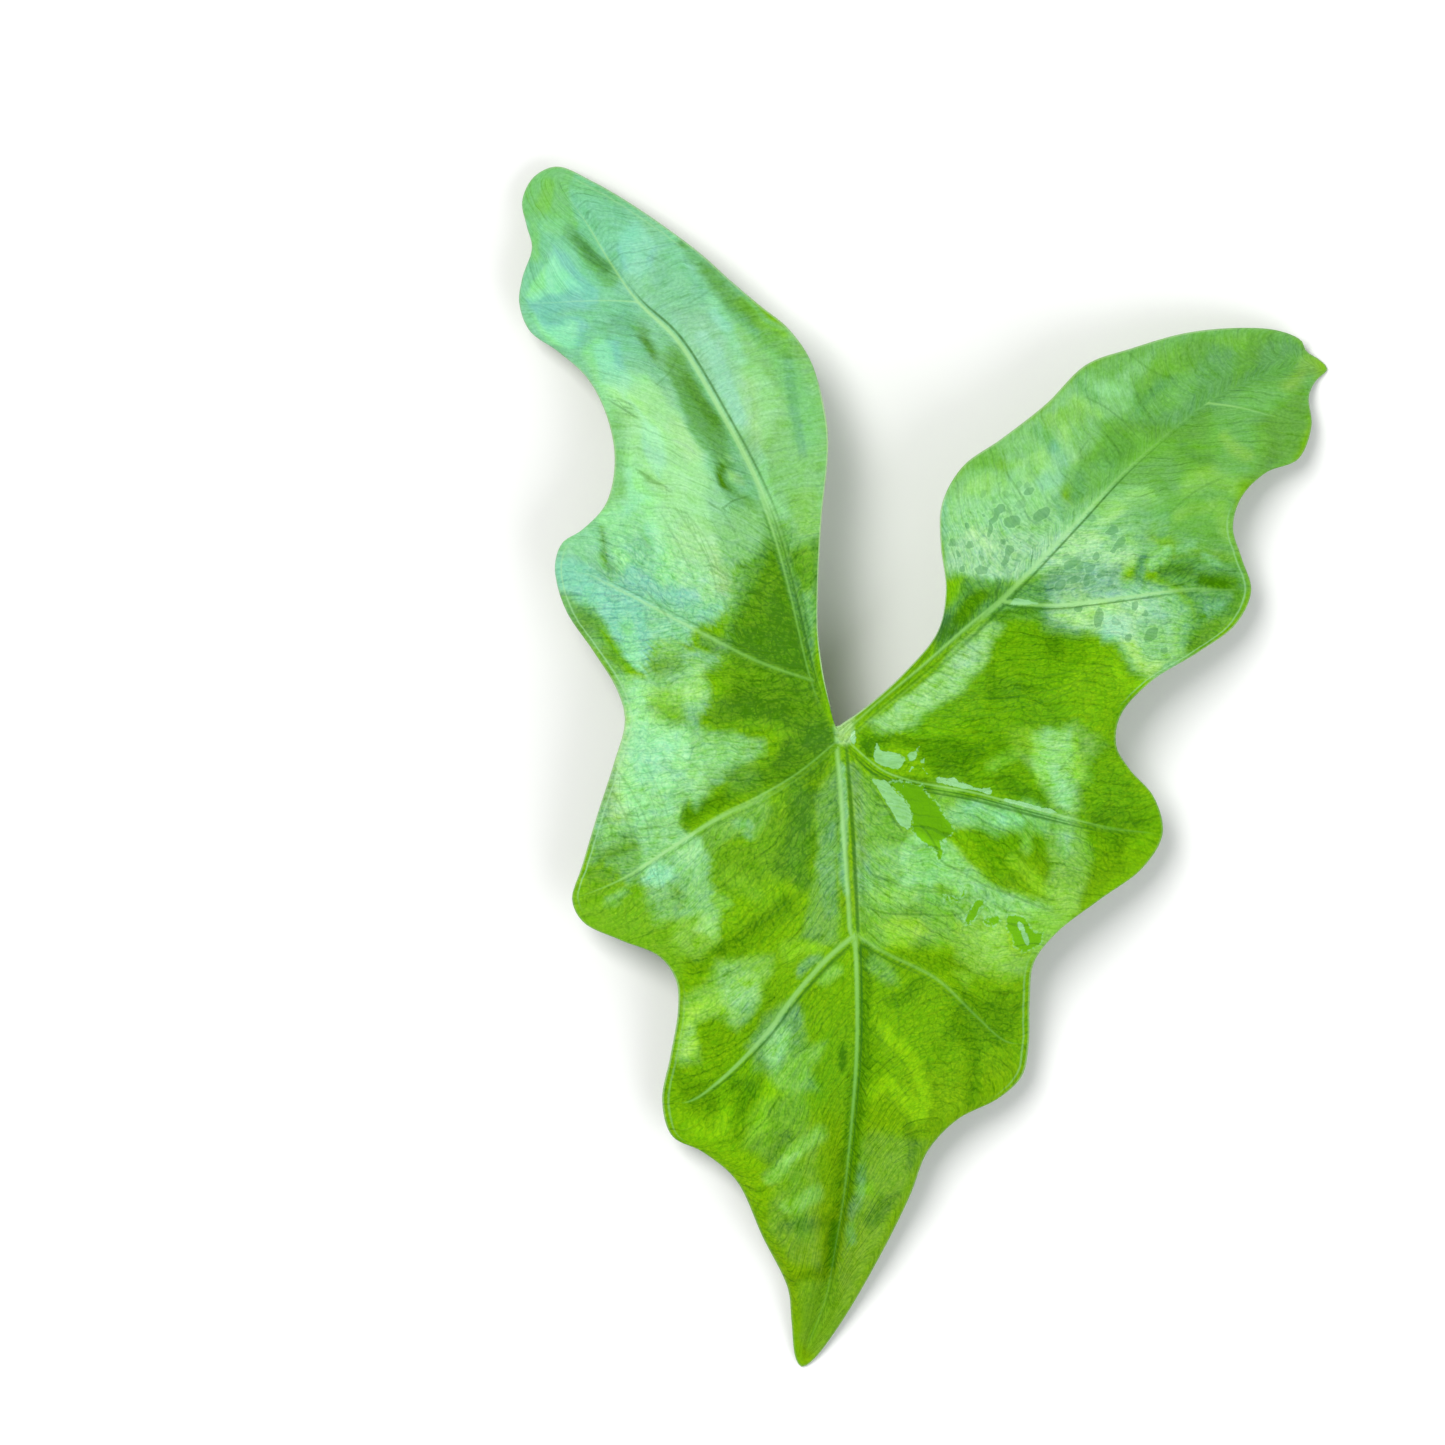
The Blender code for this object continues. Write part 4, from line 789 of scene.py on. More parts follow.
# %% Strokes on the right middle
RIGHT_MIDDLE = [
    (0, 32, 24, 2.5, [6, 1, 38, 31, 50, 32, 60, 29, 70, 21, 79, 16, 72, 8, 66, 2, 76, -8, 82, -22, 72, -32,
     60, -40, 48, -38, 34, -30, 28, -12, 20, -2]),
    (21, 56, 44, 1, [6, 4, 8, 2, 14, 3, 19, 3, 21, 7, 27, 10, 30, 12, 33, 16, 36, 20, 38, 25, 40, 28,
     38, 30, 34, 29, 29, 24, 25, 19, 20, 14, 14, 10]),
    (36, 73, 55, 0.9, [7.5, 4.5, 9, 3, 16, 3, 18, 6.5, 22, 8, 26, 10, 28, 12, 31, 15.5, 34, 17.5, 36, 24,
     37.5, 28.5, 35, 28, 30, 22.5, 26, 18, 22, 16, 16, 11, 10, 7]),
    (50, None, 62, 0.8, [26, 18, 32, 18, 34, 22, 36, 26, 33, 25.5, 29, 21]),
    (0, 14, 30, 1, 1, [7, 0, 13, 0.5, 19, -1]),
    (0, 18, 20, 1.3, [20, 0, 30, 0, 36, -2, 37, -3, 33, -5, 31, -9, 23, -9, 20, -5]),
    (None, 18, None, 1, 1, [14, -10, 28, -12]),
    (None, 19, None, 1.2, [35, 18, 37, 18, 38, 15, 50, 14, 46, 11, 38, 10, 35, 11]),
    (None, 18, None, 1.1, [51, 22, 51, 27, 55, 27, 56, 23, 55, 20]),
    (None, 43, None, 1, 1.1, [22, 2.5, 32, 1.5, 40, 3]),
    (None, 43, 34, 1.4, [50, 11, 55, 7, 58, 4, 66, 2, 68, 8, 76, 14, 72, 19, 66, 25, 61, 27, 60, 20,
     56, 15]),
    (None, 60, None, 1, 1.4, [68.5, 18.5, 72, 14, 76.5, 14.5]),
    (12, 50, 40, 1.3, [44, 1, 56, 3, 58, 4, 65, 1, 66, -1, 62, -5, 60, -8, 60, -16, 58, -20, 60, -24,
     62, -30, 61, -38, 56, -42, 50, -39, 52, -32, 51, -24, 56, -20, 54, -17, 49, -11, 44, -5]),
    (35, 73, None, 0.9, [47.5, 1, 51, 2.5, 57, 2, 58, -3, 57, -7, 59, -11, 58, -18, 55, -17, 51.5, -11.5,
     48, -8.5, 47.5, -4]),
    (52, 90, 58, 0.8, [49.5, -0.5, 54.5, -0.5, 54, -2.5, 51.5, -3]),
    (54, 90, None, 0.8, [51.5, -6, 54, -6, 55, -9.5, 58, -11, 57, -17.5, 55.5, -16.5, 53.5, -12.5]),
    (30, 62, None, 1, 1.7, [56, -20, 56, -28]),
    (6, 57, None, 1, 1.3, [38, -6, 42, -4.5, 46, -1.5]),
    (0, 16, 14, 1.1, 1.4, [40, -10.5, 44, -13, 51, -15]),
    (10, 57, None, 1, 1.6, [60, -4, 60.5, -9]),
    (21, 56, None, 1, [25, -16, 29, -14, 38, -16, 47, -15, 54, -17, 54, -20, 52, -24, 46, -22, 42, -23,
     38, -24, 34, -22, 28, -22, 26, -20]),
    (38, 73, None, 0.8, [25, -16, 28, -14.5, 34, -15.5, 37, -17.5, 42, -17, 46, -19, 44, -21.5, 40, -22,
     36, -21, 28, -20]),
    (50, None, None, 0.7, [26.6, -16.2, 33, -15.6, 35.6, -17, 34, -19, 28, -19.2]),
    (60, 90, None, 0.7, [38, -21.4, 38.6, -18.4, 43, -18.2, 45, -19.6, 41, -21]),
    (0, 30, None, 1.1, [33, -25, 39, -24, 41, -30, 45, -36, 44, -38, 36, -35]),
    (2, 57, None, 1.1, 1.6, [42.5, -29, 47, -33, 50.5, -38]),
    (10, 57, None, 0.9, 1.1, [46, -22, 46, -27]),
    (0, 30, None, 1.5, [60, -14, 64, -13, 68, -9, 79, -16, 79, -24, 73, -29, 66, -36, 60, -39, 62, -28]),
    (0, 18, None, 1.2, [61, -19, 64, -18, 67, -14, 68, -17, 76, -18, 76, -21, 72, -24, 70, -33, 69, -28,
     64, -23, 61, -24]),
    (None, 43, 40, 1.2, 1.5, [69, -6, 78, -15]),
    (None, 43, None, 1, 1.4, [72, -29, 77, -24]),
    (21, 56, 38, 1.3, [4, -26, 8, -25, 14, -24, 18, -23, 24, -27, 27, -25, 31, -31, 36, -36, 44, -39,
     52, -41, 56, -43, 50, -50, 44, -58, 38, -54, 33, -49, 29, -45, 20, -44, 12, -50, 5, -50]),
    (10, 42, 34, 1.1, [3, -9, 8, -9, 10, -15, 14, -21, 17, -23, 12, -26, 8, -27, 4, -28]),
    (37, 73, None, 1, [14, -26, 18, -23, 22, -26, 27, -25, 31, -31, 34, -35, 40, -38, 46, -40, 53, -43,
     50, -47, 46, -47, 47, -50, 44, -50, 40, -46, 36, -44, 35, -39, 28, -36, 21, -36, 15, -37]),
    (24, None, None, 1, [44, -40, 53, -43, 50, -47, 44, -46]),
    (34, 50, None, 1, 1.6, [5, -28, 5.5, -36]),
    (6, 42, None, 1, 1.5, [17, -43, 26, -44]),
    (4, 50, None, 1.3, 2.2, [6, -47, 9, -50]),
    (0, 30, None, 1.4, [12, -51, 22, -50, 30, -52, 32, -58, 14, -58, 9, -54]),
    (0, 12, None, 1, 1.2, [4.5, -52.5, 6, -54]),
    (None, None, 50, 4, 4.5, [46, -32, 58, -38, 70, -30]),
    (None, None, 24, 3, 4, [22, -26, 24, -42]),
]
print("strokes on the right middle:", len(RIGHT_MIDDLE))

# %% Strokes on the right lobe
RIGHT_LOBE = [
    (19, 42, 20, 3, [26, 60, 30, 70, 38, 77, 50, 82, 60, 93, 75, 101, 90, 105, 112, 104, 121, 92, 116, 80,
     113, 69, 100, 65, 96, 55, 99, 46, 84, 48, 76, 58, 62, 60, 50, 66, 40, 70]),
    (11, None, 12, 2, [60, 70, 66, 79, 72, 80, 84, 78, 92, 83, 96, 76, 92, 66, 86, 66, 82, 70, 70, 69]),
    (11, None, None, 2, [73, 83, 76, 92, 80, 98, 90, 101, 108, 102, 104, 94, 98, 88, 99, 97, 92, 99, 89, 93,
     80, 90]),
    (11, None, None, 2, [103, 79, 110, 84, 115, 88, 117, 78, 113, 70, 103, 68]),
    (14, None, 14, 2, [79, 58, 82, 62, 90, 61, 97, 60, 97, 52, 92, 49, 86, 52, 81, 54]),
    (None, 30, 22, 2, [84, 96, 86, 100, 91, 101, 95, 98, 101, 97, 103, 101, 112, 101, 115, 98, 108, 95,
     106, 91, 100, 88, 95, 84, 92, 80, 92, 76, 85, 75, 78, 75, 70, 78, 72, 81, 78, 81, 85, 83, 89, 90]),
    (None, 30, 10, 1.6, [73, 82, 73, 87, 78, 89, 78, 92, 83, 91, 82, 88, 78, 86, 76, 84, 76, 82]),
    (None, 30, 30, 2, [102, 80, 110, 83, 115, 87, 117, 79, 115, 73, 111, 70, 103, 66, 105, 71, 107, 75]),
    (None, 30, 8, 1.4, [62, 69, 64, 73, 66, 77, 71, 77, 74, 73, 71, 70, 68, 68]),
    (21, 32, 16, 1.4, 1.7, [59, 66, 59.5, 63, 58, 61]),
    (None, 30, None, 1, 1.3, [84.5, 74, 88, 71.5, 92, 70.5]),
    (None, 56, 52, 1.2, 1.4, [96.5, 76, 98.5, 73, 101, 70.5]),
    (None, 58, 36, 2, 2.6, [87, 64, 92, 66, 97, 63]),
    (None, 54, 34, 1.4, 1.5, [84, 56, 88, 58, 94, 58, 95.5, 52]),
    (None, 52, 62, 2, 2, [112, 89, 116, 94, 120, 93]),
    (35, 57, 34, 1.6, [24, 60, 28, 66, 33, 69, 38, 68, 42, 67, 40, 72, 39, 76, 46, 79, 52, 84, 60, 92,
     66, 90, 72, 93, 78, 97, 78, 94, 73, 90, 72, 84, 67, 80, 62, 80, 64, 76, 60, 72, 58, 68, 55, 65, 54, 61,
     57, 59, 64, 62, 74, 64, 79, 61, 75, 58, 74, 54, 78, 50, 80, 48, 74, 44, 66, 41, 25, 40, 24, 52]),
    (13, 42, 16, 1.6, 2, [33, 69.5, 38, 71]),
    (28, 42, 12, 1, 1.1, [49, 78, 51, 75, 53, 72.5]),
    (24, 40, 14, 1, 0.9, [59, 90, 60, 87.5, 63, 85]),
    (51, None, None, 1.4, [24, 60, 30, 62, 36, 61, 38, 64, 41, 61, 43, 68, 46, 68, 46, 63, 49, 66, 51, 69,
     53, 74, 57, 74, 58, 70, 56, 68, 54, 64, 54, 61, 55, 57, 58, 55, 63, 58, 66, 56, 70, 58, 71, 57, 67, 53,
     69, 50, 74, 49, 74, 46, 69, 44, 69, 42, 62, 42, 52, 42, 26, 41, 24, 52]),
    (None, 74, 44, 1.3, [25, 42, 26, 56, 27, 60, 31, 65, 36, 67, 40, 65, 43, 64, 43, 70, 46, 70, 47, 65,
     49, 66, 47, 71, 51, 72, 54, 68, 54, 63, 52, 60, 54, 55, 60, 56, 63, 59, 69, 60, 72, 58, 66, 54, 67, 51,
     72, 51, 75, 48, 74, 43, 68, 41, 63, 42, 57, 44, 50, 41, 46, 43, 38, 41, 30, 41]),
    (None, 72, 48, 1, 1.3, [55.5, 77, 56, 73, 57.5, 70]),
    (None, 73, 46, 0.9, 1.1, [57.5, 84.5, 60, 83, 64, 81]),
    (54, 75, 40, 0.9, 1.5, [64, 87.5, 67.5, 87]),
    (None, 74, 40, 1, 1.2, [72, 60.5, 76, 61.5]),
    (67, None, 40, 1, 1.9, [50, 64, 52, 65]),
    (67, 78, 70, 1.2, [25, 42, 26, 49, 31, 52, 38, 52, 40, 50, 44, 52, 52, 52, 58, 52, 64, 51, 65, 47,
     72, 48, 73, 46, 68, 43, 61, 44, 57, 45, 51, 42, 47, 44, 43, 41, 33, 41]),
    (None, 90, 72, 1, [53, 43, 54, 47, 57, 51, 63, 52, 66, 50, 63, 47, 60, 47, 56, 44]),
    (None, 90, 72, 1, [64, 43, 65, 45, 70, 48, 73, 47, 73, 45, 69, 43]),
    (None, 88, 84, 1, 1.4, [32.5, 51.5, 37, 47.5]),
    (None, 89, 60, 0.9, 0.9, [64.5, 54, 67, 55.5, 69.5, 57]),
    (38, 62, 40, 0.9, 1.5, [48.5, 56.5, 51.5, 57]),
    (36, 42, 34, 1.2, 1.6, [54, 41, 60, 41]),
    (26, 42, 20, 1.4, 1.6, [74, 56, 80, 57, 80, 52]),
    (26, 32, 14, 1, 1.5, [75, 45.5, 74, 40.5]),
    (35, 58, 30, 1.4, [51, 36, 56, 40, 62, 40, 68, 40, 76, 39, 82, 38, 86, 34, 87, 29, 86, 25, 88, 22,
     84, 19, 78, 15, 73, 18, 69, 24, 62, 27, 52, 30]),
    (51, None, 40, 1, [55, 38, 60, 39, 66, 40, 69, 38, 74, 39, 79, 38, 83, 34, 84, 30, 81, 26, 79, 20,
     75, 21, 72, 25, 67, 27, 62, 28, 53, 31, 54, 33, 58, 34]),
    (None, 74, 46, 1.2, [52, 31, 56, 35, 61, 36, 66, 40, 66, 37, 70, 37, 76, 37, 82, 36, 85, 31, 84, 24,
     88, 22, 84, 20, 79, 18, 77, 16, 74, 19, 71, 23, 69, 26, 64, 27, 61, 27, 58, 29]),
    (68, None, 60, 1, [53, 31, 58, 34, 62, 35, 68, 36, 76, 36, 81, 33, 82, 31, 78, 29, 74, 28, 74, 24,
     71, 25, 68, 26, 63, 28, 59, 29]),
    (None, 90, 72, 1, [53, 31, 60, 33, 62, 36, 66, 35, 72, 35, 75, 36, 76, 32, 74, 30, 74, 26, 75, 21,
     80, 19, 77, 16, 74, 18, 71, 23, 67, 27, 60, 29]),
    (88, 100, 86, 0.7, 1, [58.4, 30.4, 61, 30]),
    (88, 100, 70, 0.7, 0.9, [66.6, 32, 68, 28.6]),
    (36, None, 42, 1, 1.5, [76, 24.5, 79.5, 26.5]),
    (16, 32, 16, 1.6, [80, 40, 82, 45, 87, 46, 94, 45, 100, 45, 102, 38, 100, 32, 97, 29, 92, 24, 86, 24,
     87, 30, 87, 34, 84, 38]),
    (4, 28, 30, 1.4, [85, 21, 86, 24, 88, 28, 92, 30, 97, 31, 95, 27, 92, 24, 88, 22]),
    (5, 24, 10, 1, 1.2, [98.5, 31.5, 99.5, 37]),
    (4, 16, 10, 1, 1.8, [81.5, 42, 86.5, 42.5]),
    (2, 17, 10, 1, 1.9, [90, 40.5, 98, 39.5]),
    (0, 5, 0, 0.8, 1.1, [90, 41, 93, 40, 96, 39]),
    (40, 74, 34, 0.8, 1.6, [78, 43.5, 81, 47]),
    (34, 56, 28, 0.9, 1.1, [84, 47, 88, 48]),
    (34, 54, 24, 0.8, 0.9, [90.5, 46, 94, 44]),
    (34, 44, 20, 1, 1.5, [91, 32.5, 95, 34]),
    (12, 26, 14, 1.6, [24, 22, 24, 30, 28, 35, 31, 40, 40, 40, 43, 39, 50, 40, 54, 37, 52, 34, 52, 30,
     40, 30, 34, 31, 28, 25]),
    (None, 50, 22, 1.2, 1.6, [26.5, 35, 28, 39]),
    (4, 18, 14, 1.2, [24, 23, 25, 28, 29, 34, 33, 38, 39, 39, 41, 37, 36, 34, 32, 30, 27, 25]),
    (0, 12, 16, 1, 1.6, [29.5, 31, 32, 34, 35.5, 36]),
    (42, 60, 30, 0.5, 0.6, [42, 34.3, 46.6, 34.2]),
    (3, 18, 10, 0.8, 1.3, [38.5, 31, 47, 32]),
]
print("strokes on the right lobe:", len(RIGHT_LOBE))

# %% Strokes round the joint and along the midrib
CENTRE = [
    (1, None, 34, 1.4, [-32, 18, -28, 24, -29, 30, -22, 34, -20, 42, -17, 45, -14, 38, -12, 30, -9, 22,
     -6, 14, -3, 4, -2, 0, -6, -6, -12, -8, -22, -10, -18, -6, -16, 0, -18, 3, -32, 3, -34, 8, -30, 12]),
    (None, 17, None, 1.4, [-28, 30, -20, 34, -18, 46, -14, 44, -10, 34, -8, 22, -5, 12, -3, 2, -4, -8,
     -7, -14, -7, -28, -11, -36, -17, -32, -15, -26, -13, -18, -13, -12, -18, -11, -26, -12, -20, -6,
     -14, -1, -12, 3, -20, 5, -32, 4, -35, 7, -30, 12, -27, 19, -30, 24]),
    (None, 7, 22, 1.2, [-29, 28, -26, 24, -20, 20, -15, 17, -10, 16, -9, 21, -12, 30, -14, 34, -16, 38,
     -19, 34, -18, 30, -22, 28]),
    (None, 28, None, 1.2, [-27, 19, -22, 18, -17, 15, -20, 14, -25, 15]),
    (None, 8, None, 1, [-31, 7, -24, 5, -14, 5, -13, 8, -17, 10, -20, 9, -26, 13]),
    (None, 8, None, 1, [-24, -11, -18, -9, -13, -5, -12, -1, -14, 1, -17, -4, -22, -9]),
    (None, 8, 30, 1, [-8, -11, -4, -13, -7, -16, -10, -24, -12, -20, -10, -15]),
    (12, 32, 40, 1.2, [-6, -14, -3, -8, -1, -6, -1, -50, -10, -50, -8, -38, -7, -30]),
    (None, 43, 44, 1.2, [-6, -26, -1, -24, -1, -50, -10, -48, -8, -38, -7, -32]),
    (22, None, None, 1, [-3, -20, -2, -20, -1, -30, -1, -44, -4, -44, -6, -36, -7, -31, -5, -24]),
    (34, 54, 40, 0.6, 0.9, [-0.6, -7, 0, -20, 0.6, -30, 1.6, -38]),
    (21, None, 62, 1, 1.6, [2.5, -7, 4, -14, 4.5, -22, 5, -30]),
    (6, 44, None, 1, 1.2, [24, -37, 27, -39]),
    (None, 75, None, 1.1, [14, -26, 18, -23, 24, -26, 28, -24, 30, -30, 29, -38, 24, -34, 18, -32,
     15, -30]),
    (None, 74, None, 1, [5, -33, 8, -36, 19, -38, 17, -41, 10, -41, 6, -39]),
    (None, 74, 60, 1, [8, -46, 13, -44, 20, -45, 23, -47, 18, -50, 11, -50]),
    (36, 74, 90, 0.7, [-1.6, -0.8, -1.8, 3.4, 0, 5.4, 3.2, 5, 2.6, 2.4, 2.4, -0.2, 1, -1.4]),
    (0, 9, 10, 0.8, [4, 1.5, 9, 1, 12, 0, 9, -1.5, 6.5, -4, 4.5, -2]),
    (None, 74, None, 1, [15, 10, 17, 12, 20, 14, 24, 17, 28, 21, 30, 24, 30, 17, 24, 10, 20, 9]),
    (14, 38, 20, 0.9, 1.2, [-7.5, 34, -6, 28]),
    (3, 28, 26, 1, [-13, 47, -11, 48, -8, 49, -6, 46, -7, 38, -9, 37, -11, 42]),
    (24, 56, 40, 1.6, [-14, 62, -6, 62, -5, 52, -8, 49, -11, 52]),
    (1, 5, 20, 0.6, 0.8, [-27, 68.4, -30, 68, -31, 65.4, -29.6, 62.8, -26.6, 62.2]),
    (50, 95, 60, 0.6, 1.2, [-27.5, 65.5, -25, 65]),
    (40, 80, 50, 0.5, 0.5, [-30, 69.8, -26.6, 70]),
]
print("strokes round the joint and along the midrib:", len(CENTRE))

# %% Last strokes, here and there
LAST_TOUCHES = [
    (12, 62, 52, 2, [28, -46, 34, -44, 46, -44, 48, -52, 44, -58, 34, -58, 28, -54]),
    (16, 76, None, 1.1, [34, -49, 36, -52, 36, -55, 40, -57, 43, -52, 41, -50, 42, -47, 38, -46]),
    (10, 58, 50, 2, [-42, -44, -33, -44, -31, -50, -36, -54, -42, -53]),
    (34, 84, 60, 1, [-37, -48, -32, -49, -31, -44, -36, -43]),
    (27, 56, 46, 2, [-50, -36, -42, -36, -40, -42, -46, -46]),
    (42, 60, 44, 2, [-32, 56, -20, 56, -20, 51, -24, 44, -30, 42]),
    (2, 34, 60, 2, [-11, -136, 0, -134, 0, -144, -6, -154, -10, -152]),
    (11, None, None, 2, [4, -42, 26, -42, 28, -50, 8, -52]),
    (24, 34, None, 2, 2.6, [-67, 32, -63, 28]),
    (0, 33, None, 1.6, [-9, -82, -2, -76, -1, -84, -7, -86]),
    (16, 68, 40, 1.4, [-49, 12, -42, 13, -41, 8, -47, 7]),
    (0, 20, None, 1.6, [-40, -86, -32, -86, -31, -92, -38, -93]),
    (22, None, None, 1.6, 2.4, [53, 80, 58, 81]),
    (2, 6, 30, 2.5, [-9, 4, -2, 3, -2, -2, -9, -3]),
    (6, 26, None, 3, [-29, -8, -22, -6, -21, -11, -28, -13]),
    (None, 66, 50, 3, [-38, -7, -33, -7, -33, -13, -38, -13]),
    (4, 55, 55, 3, [42, 3, 47, 3, 48, -3, 43, -3]),
    (5, 58, 50, 3, [42, -47, 46, -47, 47, -53, 43, -53]),
    (50, None, 70, 4, [52, 42, 60, 42, 68, 38, 67, 28, 52, 29]),
    (55, 88, None, 2, [-39, -5, -34, -5, -33, -13, -36, -17, -40, -14]),
    (1, 25, None, 1.5, 1.5, [-19, -5, -17, -9, -16, -13]),
    (None, 45, None, 2.5, [-33, 17, -27, 17, -27, 12, -33, 11]),
    (84, None, None, 2, [-53, 3, -47, 3, -46, -10, -50, -11, -54, -3]),
    (28, 62, None, 2, [-48, 21, -45, 25, -40, 24, -42, 20]),
    (42, 62, None, 2, [-60, 82, -55, 80, -54, 60, -60, 58]),
    (12, 70, None, 2, [47, -45, 56, -42, 58, -46, 50, -53, 46, -52]),
    (None, 90, None, 2, [47, 1, 59, 0, 60, -10, 48, -11]),
    (None, 75, 50, 2, [11, -47, 17, -47, 18, -52, 11, -53]),
    (None, 55, None, 2, [22, -41, 29, -42, 29, -53, 22, -52]),
    (10, 55, None, 2, [23, -11, 29, -11, 29, -17, 23, -17]),
    (100, 100, None, 2, [64, 31, 72, 30, 72, 25, 65, 25]),
    (None, 5, None, 2, [23, 31, 29, 31, 29, 26, 23, 25]),
    (35, 50, 35, 1.5, 1.5, [75, 54, 79, 53]),
    (8, 25, None, 2, [-67, 34, -61, 33, -60, 27, -66, 26]),
    (45, 52, None, 2.5, [-29, 76, -21, 76, -20, 62, -27, 62]),
    (2, 70, 55, 2, [41, -47, 46, -47, 47, -53, 42, -53]),
    (15, 72, 50, 2, [51, -37, 58, -37, 59, -42, 52, -43]),
    (62, 55, 60, 2, [61, 44, 69, 44, 69, 36, 61, 36]),
]
STROKES = LEFT_LOBE + LEFT_MIDDLE + LOWER + RIGHT_MIDDLE + RIGHT_LOBE + CENTRE + LAST_TOUCHES
print("strokes in all:", len(STROKES))

# %% Splashes and puckers
# strength, softness, a line's half width, points
SPLASHED = [
    (1, 3, [28, 44, 30, 60, 38, 66, 48, 66, 54, 60, 48, 50, 42, 42]),
    (1, 3, [50, 38, 52, 48, 62, 58, 72, 56, 74, 46, 64, 38]), (0.8, 3, [60, 33, 80, 34, 80, 22, 66, 27]),
    (0.5, 3, 3, [44, 70, 54, 70]),
]
PUCKERED = [  # where the sheet is finely puckered, and its grain shows strongly
    (1, 9, [-70, 40, -56, 56, -30, 46, -6, 56, 2, 8, 24, 40, 26, 58, 56, 56, 76, 52, 98, 44, 100, 26, 76, 8,
     80, -24, 50, -50, 50, -84, 24, -100, 2, -146, -12, -146, -34, -108, -50, -90, -44, -56, -84, -30,
     -60, 10]),
]
SPOTS = [  # the larger splashes: middle, half length, half width, turn in degrees
    (49.7, 56.3, 2.6, 1.4, 35), (42.3, 54.5, 2.4, 1.6, 0), (41.7, 47.3, 1.6, 1.2, 80),
    (34.7, 42.4, 1.9, 1.2, 0), (31.8, 48.6, 1.2, 1.1, 0), (27.4, 49.3, 1.3, 1.2, 60),
    (28.8, 46.2, 1, 0.8, 0), (29.9, 42.6, 1, 0.8, 30), (40.1, 49.5, 1.1, 0.9, 0), (40.4, 44.3, 1.1, 1, 0),
    (36.7, 51.8, 1.3, 0.8, 80), (37.6, 54.8, 1.2, 1, 0), (34.8, 55.6, 0.8, 0.7, 0),
    (39.3, 57.6, 1.6, 1.2, 20), (57.5, 44.2, 2.7, 1.3, 30), (63.4, 45.8, 1.4, 1, 70),
    (61, 39.6, 1.5, 1, 85), (61.7, 42.7, 1.5, 0.9, 30), (64.4, 41, 1.2, 0.8, 0), (69.4, 49.2, 2, 1.1, 45),
    (67.6, 46.9, 1, 0.7, 0), (51.7, 42.1, 0.8, 0.6, 0), (67.4, 52.3, 1.9, 1.1, 20), (58, 40, 1.5, 1, 20),
    (54.4, 38.6, 1.9, 1.2, 40), (53.2, 41.6, 1, 0.7, 0), (64, 30.5, 2.6, 1.3, 85),
    (77.1, 26.4, 2.5, 1.5, 50), (73.1, 33.6, 1.5, 0.9, 80), (75.6, 31.6, 1.1, 0.9, 0),
    (58.9, 32.6, 1.2, 0.9, 0), (80.3, 22.3, 1.2, 1, 0), (71.4, 25.6, 1.3, 0.9, 60), (31, 53.4, 1, 0.8, 0),
    (46.6, 62, 1.6, 1, 20), (44, 49, 0.8, 0.6, 0),
]
print("splashed and puckered areas:", len(SPLASHED) + len(PUCKERED), "spots:", len(SPOTS))

# %% Paint the strokes onto the points
# PLAIN holds the painted sky sheen, the light and the warmth that a point has without a stroke.
PLAIN = (0, 42, 38)         # wax, light and warmth without a stroke, in percent
CRISPNESS = 0.85            # every stroke's softness is taken times this
DRIFT_WAVES = (6, 9, 14, 21)    # lengths in mm
DRIFT_SHARE = 0.022         # of a wave's length
DRIFT_TURN = 6.3            # radians in one wave


def corners_of(points):
    """A flat list x, y, x, y as rows of two."""
    return np.array(points, float).reshape(-1, 2)


def close_to(corners, x, y, reach):
    """Which points lie in the box round some corners, widened by the reach in mm."""
    (left, low), (right, high) = corners.min(0) - reach, corners.max(0) + reach
    return (x > left) & (x < right) & (y > low) & (y < high)


def inside_by(x, y, corners):
    """Distance in mm to the border of a patch, positive inside it: the smallest distance to its sides, with
    the sign from how many sides a line to the right crosses."""
    a, b = corners, np.roll(corners, -1, 0)
    gap = np.abs(nearest_on(np.vstack([a, a[:1]]), x, y)[0])
    above = (a[:, 1] > y[:, None]) != (b[:, 1] > y[:, None])
    rise = np.where(a[:, 1] == b[:, 1], 1e-9, b[:, 1] - a[:, 1])
    crossing = a[:, 0] + (y[:, None] - a[:, 1]) / rise * (b[:, 0] - a[:, 0])
    odd = (above & (x[:, None] < crossing)).sum(1) % 2
    return np.where(odd == 1, gap, -gap)


def coverage(x, y, soft, line_half, points):
    """Which points lie near a stroke, and how far it covers them: 0 outside, 1 inside, smooth between. The
    list line_half holds a line's half width, and is empty for a patch."""
    corners = corners_of(points)
    near = close_to(corners, x, y, soft + sum(line_half))
    if line_half:
        inside = line_half[0] - np.abs(nearest_on(corners, x[near], y[near])[0])
    else:
        inside = inside_by(x[near], y[near], corners)
    return near, smoothstep(-soft, soft, inside)


def drift(x, y):
    """The points moved by up to about 1 mm along slow seeded waves, so that no border runs straight."""
    draw = np.random.default_rng(5)
    move_x, move_y = np.zeros_like(x), np.zeros_like(y)
    for length in DRIFT_WAVES:
        for move in (move_x, move_y):
            angle, phase = draw.uniform(0, 2 * math.pi, 2)
            ahead = (x * math.cos(angle) + y * math.sin(angle)) * DRIFT_TURN / length
            move += DRIFT_SHARE * length * np.sin(ahead + phase)
    return x + move_x, y + move_y


def paint(x, y, strokes):
    """Painted sheen, light and warmth at each point: each stroke moves the value towards its own by its
    coverage.
    """
    layers = np.array([np.full_like(x, percent / 100) for percent in PLAIN])
    for stroke_sheen, stroke_light, stroke_warmth, soft, *line_half, points in strokes:
        near, cover = coverage(x, y, soft * CRISPNESS, line_half, points)
        for layer, percent in zip(layers, (stroke_sheen, stroke_light, stroke_warmth)):
            if percent is not None:
                layer[near] += (percent / 100 - layer[near]) * cover
    return layers


